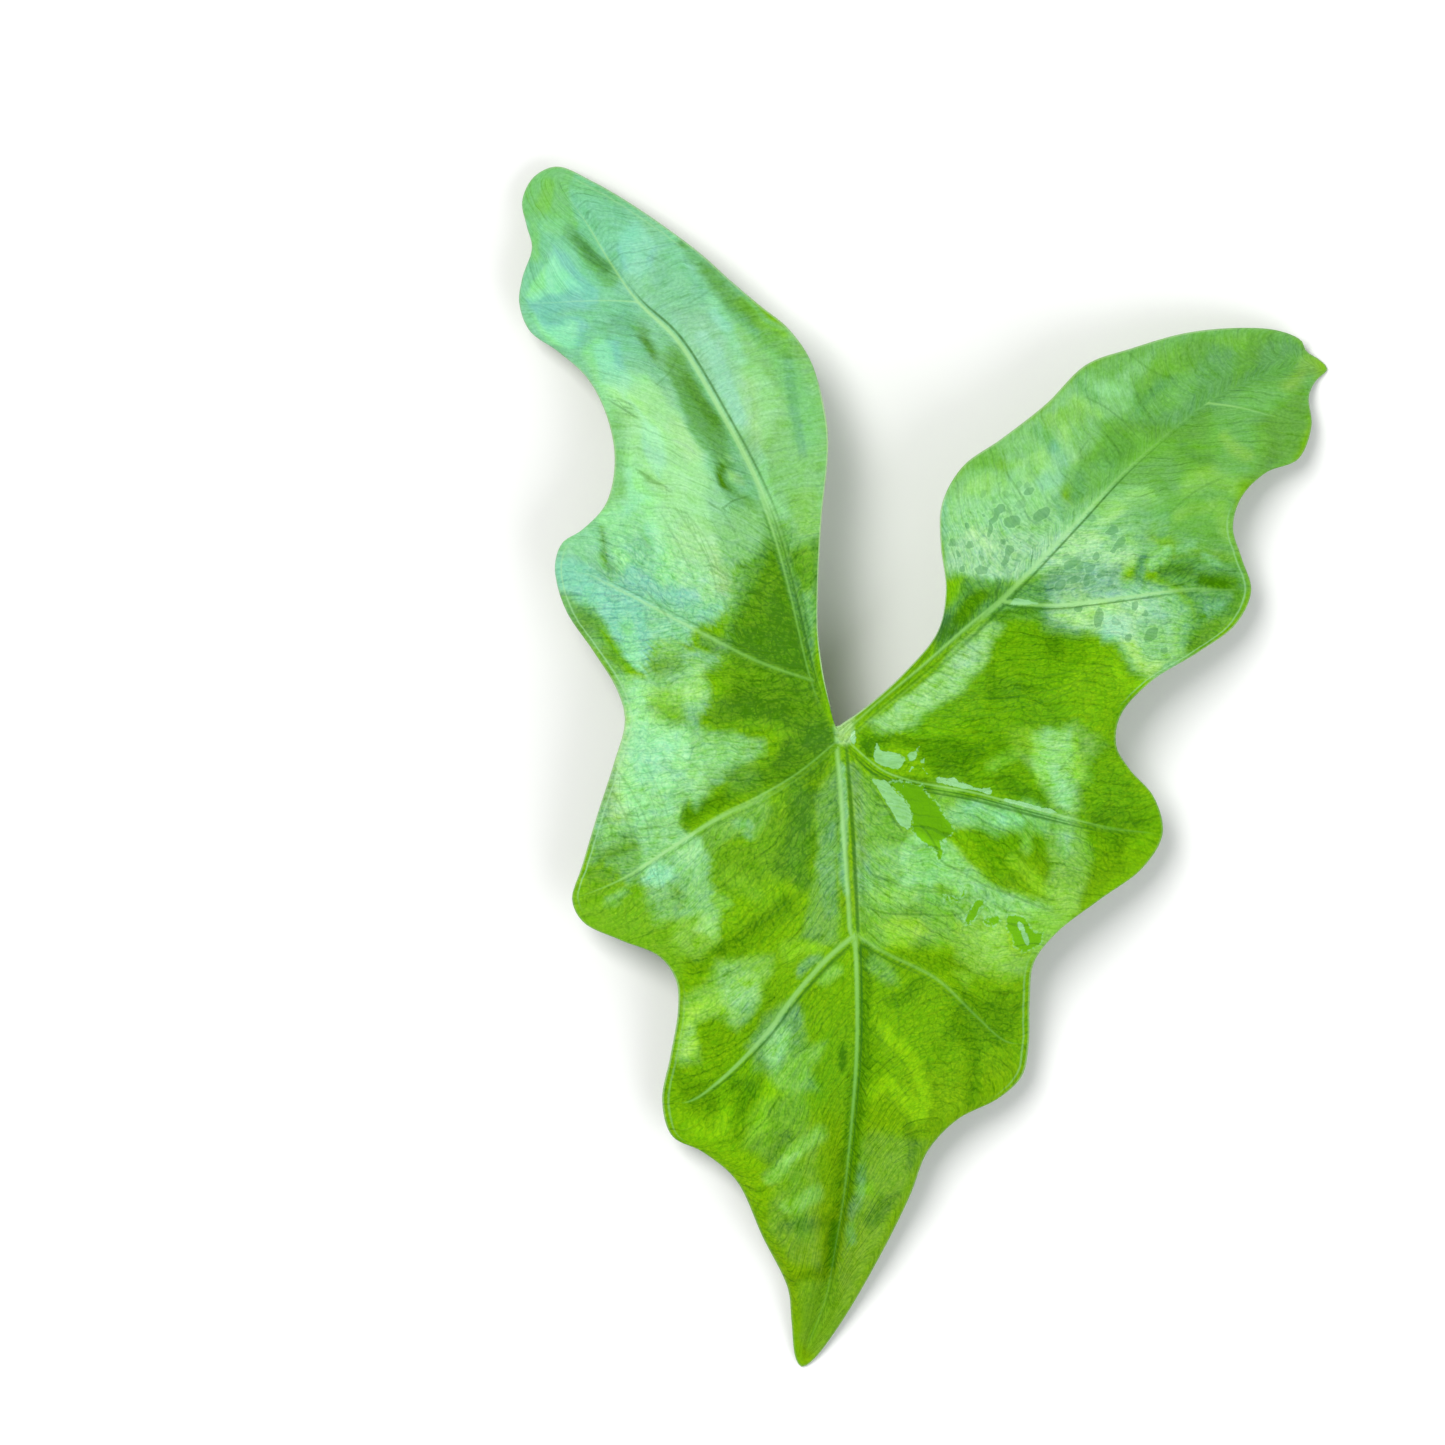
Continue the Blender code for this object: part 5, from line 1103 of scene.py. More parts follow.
def lay_in(x, y, washes):
    """The strongest of some washes at each point. A wash is a stroke with one strength, from 0 to 1."""
    mask = np.zeros_like(x)
    for strength, soft, *line_half, points in washes:
        near, cover = coverage(x, y, soft, line_half, points)
        mask[near] = np.maximum(mask[near], strength * cover)
    return mask


def spot_field(x, y):
    """How far inside the nearest splash a point is: 1 minus its radius, measured in the splash's own half
    length and half width, so 0 on the border; at least minus 1."""
    inside = np.full_like(x, -1.0)
    for middle_x, middle_y, half_length, half_width, turn in SPOTS:
        cos, sin = math.cos(math.radians(turn)), math.sin(math.radians(turn))
        lengthwise = ((x - middle_x) * cos + (y - middle_y) * sin) / half_length
        across = ((y - middle_y) * cos - (x - middle_x) * sin) / half_width
        inside = np.maximum(inside, 1 - np.hypot(lengthwise, across))
    return inside


moved = drift(*upper[:2])
painted_sheen, light, warmth = paint(*moved, STROKES)
splashed = lay_in(*moved, SPLASHED)
puckered = lay_in(*moved, PUCKERED)
spots = spot_field(*upper[:2])
print("mean wax %.2f, light %.2f, warmth %.2f" % (painted_sheen.mean(), light.mean(), warmth.mean()))

# %% [markdown]
# A little water lies beside the right base vein. Its film has crisp, ragged borders, so these shapes are
# kept apart from the soft washes: drops, which are pale with froth and a painted reflection, and dry
# windows, where the vivid green shows without the painted sheen.

# %% Drops and dry windows
DROPS = [
    [6.8, -9.6, 10.8, -9.9, 12.8, -12.4, 15.4, -14.8, 17, -17.6, 17.2, -19.8, 16.8, -22.4, 15.2, -22,
     13.4, -19.8, 11.4, -16.2, 9.2, -12.8],
    [7.7, -2.6, 9, -2.4, 13.8, -3.4, 15.6, -4, 15, -6.4, 13.6, -7.4, 9.4, -6.2, 7.9, -5.2],
    [7.3, -0.4, 8.4, -0.2, 9, -0.8, 8, -1.6, 7.2, -1.2],
    [16, -3.4, 18.4, -2.4, 20, -0.8, 19.4, -3, 18, -4.8, 16.8, -5.2],
    [16.4, -7.6, 17.3, -5.8, 17.7, -7, 16.8, -8],
    [20.8, -3, 19.7, -4.2, 19.5, -6, 20.3, -7.6, 21.8, -9.2, 22.2, -8.8, 20.9, -7.3, 20.3, -5.8,
     20.5, -4.2],
    [22.4, -9.6, 24, -9.2, 26, -9.7, 28, -9.3, 29.2, -10.4, 31, -10.8, 32.6, -11.7, 34.6, -12.2, 36, -11.7,
     38.4, -11.8, 37.4, -13.6, 30, -12, 23, -10.6],
    [40, -14.5, 44, -15.1, 50, -16.9, 52.6, -17.2, 54, -18.4, 50, -17.8, 44, -16.2, 40.6, -15.4],
    [41.2, 33.6, 43, 35.5, 46, 35, 50, 33.9, 46, 33.8],
    [2.2, -0.6, 2, 1.8, 3, 2.6, 3.4, 0.6, 3, -1.2],
    [2.8, -2.4, 4.4, -1.6, 3.6, -3.2],
    [43.5, -45.5, 44.7, -45.2, 45.5, -47.2, 46.7, -49.6, 47, -51.2, 46.1, -51.4, 44.5, -48.4],
    [29, -46.4, 30.3, -45.2, 31.5, -43.2, 31, -42.6, 29.6, -44.4],
    [15, -11, 16.2, -11, 16, -12, 15.2, -12.1],
    [24.4, -25.4, 25.4, -24.6, 26.8, -24.4, 25.8, -26],
]
WINDOWS = [
    [11.6, -10.3, 14.5, -10.2, 20, -11.4, 20.6, -13, 22.5, -14.8, 24, -16.6, 25.6, -19.2, 27.6, -21.6,
     27, -23.6, 25.4, -24.6, 24.4, -25, 24.7, -27, 25.1, -29, 24.1, -29.9, 23.4, -29.2, 23, -27.4,
     21.8, -26.2, 20, -26, 18.6, -24, 17.5, -22.6, 17.5, -19.4, 16.8, -16.6, 15, -14, 12.9, -12.2],
    [33.4, -39.8, 35.2, -39.4, 35.4, -41, 34, -42.4, 33, -44.4, 31.4, -46, 30.4, -46, 30.9, -44, 32, -42],
    [25, -38.4, 27, -39.3, 29.6, -39.1, 29, -40.2, 26, -40, 25, -39.6],
    [35.2, -43.8, 36.6, -44.4, 38, -43.8, 39.4, -44, 39.2, -45.6, 38, -46.4, 36.4, -46.2, 35.2, -45],
    [41.2, -43.4, 45.2, -44.2, 46.6, -46, 47.6, -48, 50, -48, 49.6, -50.6, 47.4, -52, 45, -53, 43.2, -51.6,
     42.2, -49, 41, -46.6],
    [30.2, -36, 30.8, -38, 30.2, -39, 29.6, -37.6],
]
DRY_FAR, DRY_BOX = 6.0, 3.0     # mm


def shape_distance(shapes):
    """Distance in mm into the nearest of several patches, and minus DRY_FAR away from all of them."""
    far = np.full_like(upper[0], -DRY_FAR)
    for points in shapes:
        corners = corners_of(points)
        near = close_to(corners, *upper[:2], DRY_BOX)
        far[near] = np.maximum(far[near], inside_by(*upper[:2, near], corners))
    return far


drops, windows = shape_distance(DROPS), shape_distance(WINDOWS)
print("points in drops and windows:", int((drops > 0).sum()), int((windows > 0).sum()))

# %% [markdown]
# A few of the small veins stand out one by one on the real leaf, as thin dark creases: where two side
# veins' branches meet, around the puckers, and in the pale areas; their darkness is painted shade in the
# crease. Each is a short smooth line. The point's distance to it is stored with a sign, so that it stays a
# sharp line between the points of the mesh.

# %% Single creases: strength and points
CREASES = [
    (0.8, [6.5, -10.5, 9, -14, 12, -18.6, 14, -21.6, 15.6, -23.6]),
    (0.7, [17.8, -20, 20, -21.7, 23, -26, 24.6, -30, 30, -33, 36, -36.4, 42, -38.6, 50, -41.8, 55, -44]),
    (0.5, [12, -27, 15, -28.6, 20, -28.6]), (0.7, [7, -33, 14, -36, 20, -37.6, 26, -37.8]),
    (0.8, [4.6, -41, 10, -43, 20, -43.4, 28, -43.6, 31, -42.6]), (0.5, [5, -36, 12, -39, 18, -40]),
    (0.9, [-34.5, 60, -30.5, 57.6, -27.3, 59.6, -22.5, 61]), (0.5, [-30.5, 57.6, -28, 54, -26, 50]),
    (0.9, [-52, 68, -47, 64.8, -42, 62]), (0.7, [-49.5, 64.8, -44, 63.2]),
    (0.8, [-58.5, 85, -54.6, 82.6, -50.6, 80]), (0.6, [-56.5, 85.6, -52, 83.4]),
    (0.5, [-40, 58, -34, 50, -31, 43]), (0.5, [-43, 60, -37, 51, -33, 44, -31, 36]),
    (0.4, [-46, 58, -40, 47, -36, 38]), (0.5, [-52, 40, -46, 34, -42, 28]),
    (0.5, [-60, -10, -56, -15, -53, -22, -52, -28]), (0.5, [-58, -5, -53, -12, -49, -20, -48, -27]),
    (0.5, [-61, -16, -58, -21, -57, -28]), (0.4, [-50, -4, -46, -12, -43, -20]),
    (0.5, [-63, -22, -61, -27, -60, -32]), (0.5, [-48, -38, -50, -32.5]), (0.5, [-45, -39, -46.5, -30.5]),
    (0.5, [-21.6, -46.6, -15, -41.5, -8, -34.8]), (0.4, [-22, -52, -14, -45, -6, -40, 0, -37]),
    (0.4, [-12, -54, -6, -49, -2, -47]), (0.5, [-9, -72, -14, -79, -17, -86]),
    (0.4, [-4, -75, -9, -79, -14, -86, -20, -93]), (0.4, [0, -84, -6, -88, -12, -95]),
    (0.4, [6, -72, 12, -77, 18, -84]), (0.4, [5, -78, 11, -82, 17, -90]), (0.4, [5, -86, 12, -90, 18, -98]),
    (0.4, [4, -94, 10, -97, 15, -104]), (0.4, [12, -60, 14, -68, 14, -74]),
    (0.6, [20, 6, 34, 6, 46, 8.4, 60, 13]), (0.6, [28, 11.5, 40, 10.4, 52, 12.6, 66, 17]),
    (0.5, [30, 19, 42, 14.6, 54, 16.6, 70, 19]), (0.5, [22, 1, 34, 1.4, 44, 4, 58, 5]),
    (0.5, [24, -3, 32, -2.4, 38, -0.4, 46, 1]), (0.5, [30, -10, 33, -5, 38, 0]),
    (0.6, [54, -8, 57, -4, 62, -1]), (0.5, [56, -12, 58.4, -7]), (0.5, [31, 24, 35, 21]),
    (0.5, [24, 17.6, 28, 14]), (0.4, [-24, 118, -40, 108]), (0.4, [-50, 122, -44, 119]),
    (0.5, [-64, 104, -52, 101, -47, 103]), (0.5, [-47, 88, -43, 92, -41, 96]),
    (0.6, [40, 68, 44, 62, 46, 59]), (0.6, [60, 86, 66, 83, 71, 79]), (0.5, [70, 98, 78, 92, 84, 90]),
    (0.5, [80, 55, 88, 62, 96, 66]), (0.4, [62, 76, 58, 70]), (0.5, [63, 26, 70, 19, 73, 16]),
    (0.5, [-30, -14, -36, -7, -44, -2]), (0.4, [-34, 0, -22, 4, -8, 6]), (0.4, [-30, 8, -18, 10, -7, 10]),
]
CREASE_FAR = 4.0    # mm
CREASE_END = 0.12   # the share of a crease at each end in which it fades


def crease_map(x, y):
    """The signed distance in mm to the nearest crease, and the crease's strength, which fades at its ends."""
    gap, strength = np.full_like(x, CREASE_FAR), np.zeros_like(x)
    for force, points in CREASES:
        line = smooth_line(corners_of(points), steps=8)
        near = close_to(line, x, y, CREASE_FAR)
        own, share = nearest_on(line, x[near], y[near])
        fade = force * smoothstep(0, CREASE_END, share) * smoothstep(1, 1 - CREASE_END, share)
        closer = np.abs(own) < np.abs(gap[near])
        gap[near] = np.where(closer, own, gap[near])
        strength[near] = np.where(closer, fade, strength[near])
    return gap, strength


crease_mm, crease_strength = crease_map(*upper[:2])
print("creases:", len(CREASES))

# %% The rim: how pale the margin is, and how clear the fine vein just inside it
# strength, softness, a line's half width, points
RIM_WASHES = [
    (1, 4, 4, [-2, 5, -6, 30, -5, 60, -4, 84]), (1, 4, 4, [2, 6, 16, 16, 25, 34, 24, 56]),
    (0.6, 5, 5, [-56, 14, -54, -4, -64, -30]), (0.5, 4, 4, [-56, 60, -57, 84, -66, 92]),
    (0.5, 6, 6, [-68, 140, -45, 127, -14, 104]), (0.45, 6, 6, [35, 72, 58, 90, 90, 102]),
    (0.6, 4, 4, [78, 15, 98, 28]), (0.4, 6, 6, [46, -60, 48, -84]), (0.5, 5, 5, [-42, -62, -44, -90]),
]
INNER_VEIN = [
    (0.9, 5, 5, [-72, 44, -56, 14, -54, -4, -64, -34]), (0.8, 5, 5, [76, 14, 100, 30, 103, 40, 99, 52]),
    (0.6, 5, 5, [-66, 138, -44, 126]), (0.4, 6, 6, [-44, -70, -44, -94]), (0.5, 6, 6, [47, -62, 46, -84]),
]
rim_pale = lay_in(*upper[:2], RIM_WASHES)
inner_vein = lay_in(*upper[:2], INNER_VEIN)
print("pale rim on %.0f%% of the margin" % (100 * (rim_pale[upper[T] == 1] > 0.5).mean()))

# %% [markdown]
# Now the blade becomes one closed mesh: the upper grids, the lower grids turned over, and a rim that
# joins them. What the material needs to know goes along as attributes on the points, and the grain as a
# UV map, because its value changes from one side of a vein to the other.

# %% Build the blade
blade_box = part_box("blade")
blade_middle = np.array([(blade_box[0][k] + blade_box[1][k]) / 2 / MM for k in (0, 1)])
flat_margin = edge_line[:, :2]
joint_at = blade_middle - (flat_margin.min(0) + flat_margin.max(0)) / 2
print("the joint is at", joint_at.round(2), "mm")


def new_piece(name, points_mm, faces, body="root"):
    """A mesh object from points in mm in the frame, with its faces pointing as they are listed."""
    mesh = bpy.data.meshes.new(name)
    mesh.from_pydata((np.asarray(points_mm) * MM).tolist(), [], [list(map(int, f)) for f in faces])
    mesh.shade_smooth()
    piece = bpy.data.objects.new(name, mesh)
    bpy.context.scene.collection.objects.link(piece)
    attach(piece, body)
    return piece


def set_values(mesh, name, values):
    """Store one number for each point of the mesh."""
    mesh.attributes.new(name, "FLOAT", "POINT").data.foreach_set("value", np.asarray(values, np.float32))


count = upper.shape[1]
points = np.vstack([np.column_stack([*upper[:2], top_z]), np.column_stack([*lower[:2], bottom_z])])
points[:, :2] += joint_at
rim_faces = np.column_stack([rim_pairs[:, 0], rim_pairs[:, 1], lower_rim_pairs[:, 1] + count,
                             lower_rim_pairs[:, 0] + count])
faces = np.vstack([upper_quads[:, ::-1], lower_quads + count, rim_faces])
blade = new_piece("leaf_blade", points, faces)
print("blade:", len(points), "points,", len(faces), "faces")

# %% Give the blade its attributes and its grain
GRAIN_UNIT = 10         # mm in one unit of the grain map
RIB_FAR = 4             # half widths, from where on a point counts as far from a rib
mesh = blade.data
nothing = np.zeros(lower.shape[1])
values = {  # above, below
    "painted_sheen": (painted_sheen, nothing),
    "light": (light, nothing + 0.3),
    "warmth": (warmth, nothing + 0.4),
    "splash": (splashed, nothing),
    "spot": (spots, nothing - 1),
    "puckered": (puckered, nothing),
    "rib": (np.abs(veins_above[0]).clip(0, RIB_FAR), np.abs(veins_below[0]).clip(0, RIB_FAR)),
    "vein_pale": (vein_pale, nothing),
    "vein_shadow": (vein_shadow, nothing),
    "crease_mm": (crease_mm, nothing + CREASE_FAR),
    "crease_shade": (crease_strength, nothing),
    "edge_mm": (upper_edge, lower_edge),
    "rim_pale": (rim_pale, nothing),
    "inner_vein": (inner_vein, nothing),
    "drop_mm": (drops, nothing - DRY_FAR),
    "window_mm": (windows, nothing - DRY_FAR),
    "under": (np.zeros(count), nothing + 1),
}
for name, (above, below) in values.items():
    set_values(mesh, name, np.concatenate([above, below]))
grain = np.hstack([upper[[ACROSS, OUTWARDS]], lower[[ACROSS, OUTWARDS]]]).T / GRAIN_UNIT
corner = np.zeros(len(mesh.loops), np.int32)
mesh.loops.foreach_get("vertex_index", corner)
mesh.uv_layers.new(name="grain").data.foreach_set("uv", grain[corner].astype(np.float32).ravel())
print("attributes:", len(values), "and the grain map")

# %% Weld the grids where they meet
WELD_REACH = 0.002      # mm
welder = bmesh.new()
welder.from_mesh(mesh)
bmesh.ops.remove_doubles(welder, verts=welder.verts, dist=WELD_REACH * MM)
welder.to_mesh(mesh)
open_edges = sum(1 for edge in welder.edges if len(edge.link_faces) != 2)
welder.free()
mesh.shade_smooth()
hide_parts("blade")
print("welded blade:", len(mesh.vertices), "points, open edges:", open_edges)

# %% [markdown]
# The petiole is a stalk a little thicker at its cut end. It leaves the joint downwards, bends back under
# the left lobe and lies on the table. A profile carried along a path makes it: the profile is a circle
# with very low ridges, and the path is a smooth curve.

# %% Build the petiole
STALK_GAP = 0.3     # mm between the petiole's top and the blade's swelling
STALK_LINE = [
    (*JOINT_POINT, SWELLING_Z - STALK_GAP), (-0.5, -0.6, 22), (-3.2, 0.6, 15.6), (-8.4, 6.2, 9),
    (-14.2, 17, 4.7), (-18.6, 31, 3), (-24.6, 49, 2.72), (-32.5, 68, 2.8), (-42, 86.5, 2.88),
    (-52.5, 103.5, 2.95),
]
STALK_SIDES = 56
STALK_RADIUS, STALK_SPREAD, COLLAR = 2.6, 0.5, 0.5      # mm, with what the cut end and the top add
TRIM = 0.985        # keeps the ridges within the solid's radius
RIDGES = [(0.035, 7, 3), (0.025, 11, -2), (0.015, 17, 0)]   # mm, count, radians they turn along the way


def stalk(line, sides):
    """Rings square to a line. Radius: from 2.6 to 3.1 mm, half a mm more at the top, with low ridges of
    seven, eleven and seventeen to the turn. Below the table it is flattened."""
    run = run_of(line)
    share = (run / run[-1])[:, None]
    tangent = np.gradient(line, axis=0)
    tangent[0] = (0, 0, -1)
    tangent /= np.linalg.norm(tangent, axis=1)[:, None]
    heading = line[-1, :2] - line[0, :2]
    side = np.array([heading[1], -heading[0], 0]) / np.hypot(*heading)
    side = side - (tangent @ side)[:, None] * tangent
    side /= np.linalg.norm(side, axis=1)[:, None]
    up = np.cross(side, tangent)
    turn = (np.arange(sides) / sides * 2 * math.pi)[None, :]
    ridges = sum(rise * np.cos(number * turn + twist * share) for rise, number, twist in RIDGES)
    radius = TRIM * (STALK_RADIUS + STALK_SPREAD * share + COLLAR * (1 - smoothstep(0, 0.12, share)))
    radius = (radius + ridges * smoothstep(0, 0.05, share))[..., None]
    cos, sin = np.cos(turn)[..., None], np.sin(turn)[..., None]
    ring = line[:, None] + radius * (cos * side[:, None] + sin * up[:, None])
    ring[..., 2] = np.maximum(ring[..., 2], 0)
    return ring, run


stalk_line = smooth_line(STALK_LINE, steps=20)
ring, stalk_run = stalk(stalk_line, STALK_SIDES)
print("petiole: %.0f mm long in %d rings" % (stalk_run[-1], len(ring)))

# %% Close the petiole's ends
SUNK = 0.22         # mm
INSETS = [(0.97, 0.1), (0.8, 0.02), (0.55, -0.12), (0.3, -0.2), (0.12, -SUNK)]     # scale, push in mm


def capped(ring, line):
    """The rings with a cut face at the far end: smaller rings, the first standing a little proud and the
    rest sinking as cut flesh does, and one point in the middle. The top is closed flat."""
    end_way = (line[-1] - line[-2]) / np.linalg.norm(line[-1] - line[-2])
    last = ring[-1]
    centre = last.mean(0)
    inner = [centre + (last - centre) * scale + end_way * push for scale, push in INSETS]
    top_centre = ring[0].mean(0)
    top = [top_centre + (ring[0] - top_centre) * scale for scale in (0.3, 0.7)]
    return np.concatenate([np.array(top), ring, np.array(inner)]), top_centre, centre - SUNK * end_way


rings, top_point, end_point = capped(ring, stalk_line)
rows, sides = rings.shape[:2]
index = np.arange(rows * sides).reshape(rows, sides)
ahead = np.roll(index, -1, axis=1)
quads = np.stack([index[:-1], index[1:], ahead[1:], ahead[:-1]], -1).reshape(-1, 4)
top_fan = [[rows * sides, a, b] for a, b in zip(index[0], ahead[0])]
end_fan = [[rows * sides + 1, b, a] for a, b in zip(index[-1], ahead[-1])]
stalk_points = np.vstack([rings.reshape(-1, 3), top_point, end_point])
stalk_points[:, :2] += joint_at
petiole = new_piece("leaf_petiole", stalk_points, quads.tolist() + top_fan + end_fan)
print("petiole:", len(stalk_points), "points")

# %% Turn the petiole's faces outwards, and mark its flesh
check = bmesh.new()
check.from_mesh(petiole.data)
bmesh.ops.recalc_face_normals(check, faces=check.faces)
check.to_mesh(petiole.data)
print("petiole volume %.2f cm3" % (check.calc_volume() * 1e6))
check.free()
petiole.data.shade_smooth()
flesh = np.zeros(len(stalk_points))
flesh[(rows - len(INSETS)) * sides:rows * sides] = 1
flesh[-1] = 1
set_values(petiole.data, "flesh", flesh)
length_mm = np.concatenate([[0] * (2 * sides), np.repeat(stalk_run, sides),
                            [stalk_run[-1]] * (len(INSETS) * sides), [0, stalk_run[-1]]])
set_values(petiole.data, "length_mm", length_mm)
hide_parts("petiole")

# %% [markdown]
# Materials are sums and products of patterns. To write them as such, a small class wraps a socket of a
# node, and adding or multiplying two of them adds a Math node. A second class holds one material and adds
# any other node.

# %% A socket that can be calculated with


class Wire:
    """A value that a node gives. Operators on it add Math nodes and give the new value."""

    def __init__(self, tree, socket):
        self.tree = tree
        self.socket = socket

    def math(self, operation, *values):
        node = self.tree.nodes.new("ShaderNodeMath")
        node.operation = operation
        for slot, value in zip(node.inputs, values):
            feed(self.tree, slot, value)
        return Wire(self.tree, node.outputs[0])

    def __add__(self, other):
        return self.math("ADD", self, other)

    def __radd__(self, other):
        return self.math("ADD", other, self)

    def __sub__(self, other):
        return self.math("SUBTRACT", self, other)

    def __rsub__(self, other):
        return self.math("SUBTRACT", other, self)

    def __mul__(self, other):
        return self.math("MULTIPLY", self, other)

    def __rmul__(self, other):
        return self.math("MULTIPLY", other, self)

    def __truediv__(self, other):
        return self.math("DIVIDE", self, other)

    def __abs__(self):
        return self.math("ABSOLUTE", self)

    def fract(self):
        return self.math("FRACT", self)

    def least(self, other):
        return self.math("MINIMUM", self, other)

    def most(self, other):
        return self.math("MAXIMUM", self, other)

    def step(self, low, high):
        """0 below low, 1 above high, smooth between."""
        node = self.tree.nodes.new("ShaderNodeMapRange")
        node.interpolation_type = "SMOOTHSTEP"
        for slot, value in zip(node.inputs, (self, low, high, 0.0, 1.0)):
            feed(self.tree, slot, value)
        return Wire(self.tree, node.outputs[0])

    def output(self, name):
        """Another output of the same node."""
        return Wire(self.tree, self.socket.node.outputs[name])


def feed(tree, slot, value):
    """Link a wire to an input, or set the input to a plain value."""
    if isinstance(value, Wire):
        tree.links.new(value.socket, slot)
    else:
        slot.default_value = value


print("wires ready")

# %% A material that is written as expressions


class Paint:
    """One material, its nodes, and the patterns that it often needs."""

    def __init__(self, name):
        self.material = bpy.data.materials.new(name)
        self.material.use_nodes = True
        self.tree = self.material.node_tree
        self.tree.nodes.clear()

    def node(self, kind, settings, inputs, output=0):
        """Add a node: its settings first, then its inputs by name or identifier."""
        node = self.tree.nodes.new(kind)
        for name, value in settings.items():
            setattr(node, name, value)
        for key, value in inputs.items():
            slot = next(s for s in node.inputs if key in (s.identifier, s.name) and s.enabled)
            feed(self.tree, slot, value)
        return Wire(self.tree, node.outputs[output]) if len(node.outputs) else node

    def place(self):
        return self.node("ShaderNodeTexCoord", {}, {}, output="Object")

    def value(self, name):
        """An attribute of the mesh."""
        return self.node("ShaderNodeAttribute", {"attribute_name": name}, {}, output="Fac")

    def stretch(self, vector, scale, shift=(0, 0, 0)):
        """A vector scaled and moved, each axis by its own number."""
        return self.node("ShaderNodeVectorMath", {"operation": "MULTIPLY_ADD"},
                         {"Vector": vector, "Vector_001": scale, "Vector_002": shift})

    def vector(self, x, y, z=0.0):
        return self.node("ShaderNodeCombineXYZ", {}, {"X": x, "Y": y, "Z": z})

    def noise(self, vector, scale, detail=2.0, roughness=0.5):
        """Cloudy noise about 0: its blobs are one over the scale wide."""
        return self.node("ShaderNodeTexNoise", {}, {"Vector": vector, "Scale": scale, "Detail": detail,
                                                    "Roughness": roughness}) - 0.5

    def cells(self, vector, feature, loose=1.0):
        """A net of cells, one to each unit of the vector."""
        return self.node("ShaderNodeTexVoronoi", {"feature": feature},
                         {"Vector": vector, "Scale": 1.0, "Randomness": loose})

    def mix(self, first, second, share):
        """From the first colour to the second."""
        return self.node("ShaderNodeMix", {"data_type": "RGBA", "clamp_factor": True},
                         {"Factor_Float": share, "A_Color": first, "B_Color": second}, output=2)

    def tell(self):
        print("nodes so far:", len(self.tree.nodes))

    def finish(self, inputs, height=None, height_mm=0.3, bump=1.0):
        """Put a Principled shader at the end, with a bump of the given height."""
        if height is not None:
            inputs["Normal"] = self.node("ShaderNodeBump", {},
                                         {"Strength": bump, "Distance": height_mm * MM, "Height": height})
        shader = self.node("ShaderNodeBsdfPrincipled", {}, inputs)
        self.node("ShaderNodeOutputMaterial", {}, {"Surface": shader})
        return self.material


print("paint ready")

# %% [markdown]
# The sheet's small veins run outwards from the ribs, a little over three millimetres apart, and a finer
# mesh of cells lies between them. Both read the grain map, so they turn with each field of the sheet.
# Stripes make the small veins: the fraction of the distance across, in spacings, comes back to the same
# value at each of them. Noise moves them a little, and lets them fade in and out.

# %% Grain of the sheet
sheet = Paint("leaf_sheet")
place = sheet.place()
grain_map = sheet.node("ShaderNodeUVMap", {"uv_map": "grain"}, {})
parts = sheet.node("ShaderNodeSeparateXYZ", {}, {"Vector": grain_map})
slow = sheet.noise(place, 60, 2.0, 0.5)
quick = sheet.noise(place, 380, 2.0, 0.5)
across = parts * GRAIN_UNIT + slow * 9 + quick * 1.1
outward = parts.output("Y") * GRAIN_UNIT + quick * 2.2
grain_place = sheet.vector(across, outward)


def stripes(position, spacing, thin, wide):
    """1 on lines one spacing apart, fading to 0 between the thin and the wide distance in mm."""
    return 1 - (abs((position / spacing).fract() - 0.5) * spacing).step(thin, wide)


def grain_cells(across_mm, outward_mm, shift=(0, 0, 0)):
    """The grain counted in steps of the given size in mm."""
    return sheet.stretch(grain_place, (1 / across_mm, 1 / outward_mm, 1), shift)


def grain_noise(across_mm, outward_mm, shift=0.0, detail=2.0):
    """Noise drawn out along the grain, with blobs of the given size in mm."""
    return sheet.noise(grain_cells(across_mm, outward_mm, (0, 0, shift)), 1.0, detail, 0.55)


cloud = sheet.noise(place, 45, 3.0, 0.55)
band = grain_noise(6.0, 22.0, 3.0)
streak = grain_noise(1.5, 9.0, 7.0, 3.0)
hair = grain_noise(0.5, 3.6, 11.0)
grit = sheet.noise(place, 1300, 1.0, 0.5)
sheet.tell()

# %% Small veins, their mesh, and the single creases
VEIN_SPACING, HATCH_SPACING, STIPPLE_SPACING = 3.4, 1.12, 0.85      # mm
vein_fade = (grain_noise(5.0, 16.0, 17.0) + 0.5).step(0.36, 0.62)
small_veins = stripes(across, VEIN_SPACING, 0.10, 0.46) * vein_fade
hatch_fade = (grain_noise(3.0, 5.0, 23.0) + 0.5).step(0.42, 0.60)
hatch = stripes(across + hair * 0.6, HATCH_SPACING, 0.05, 0.42) * hatch_fade
mesh_cells = sheet.cells(grain_cells(1.15, 1.5), "DISTANCE_TO_EDGE", 0.75)
fine_mesh = 1 - mesh_cells.step(0.02, 0.16)
wide_cells = sheet.cells(grain_cells(2.3, 3.1, (7, 3, 0)), "DISTANCE_TO_EDGE", 0.85)
wide_mesh = 1 - (wide_cells + hair * 0.05).step(0.01, 0.11)
# The single creases, as a bump and as a thin line of painted shade.
crease_line = 1 - (abs(sheet.value("crease_mm")) + quick * 0.3).step(0.10, 0.42)
crease = crease_line * sheet.value("crease_shade")
# Tiny pale dots: painted glints.
glint_dots = sheet.cells(grain_cells(STIPPLE_SPACING, STIPPLE_SPACING), "F1", 1.0)
stipple = (1 - glint_dots.step(0.12, 0.34)) * (grain_noise(2.5, 4.0, 31.0) + 0.5).step(0.46, 0.58)
sheet.tell()
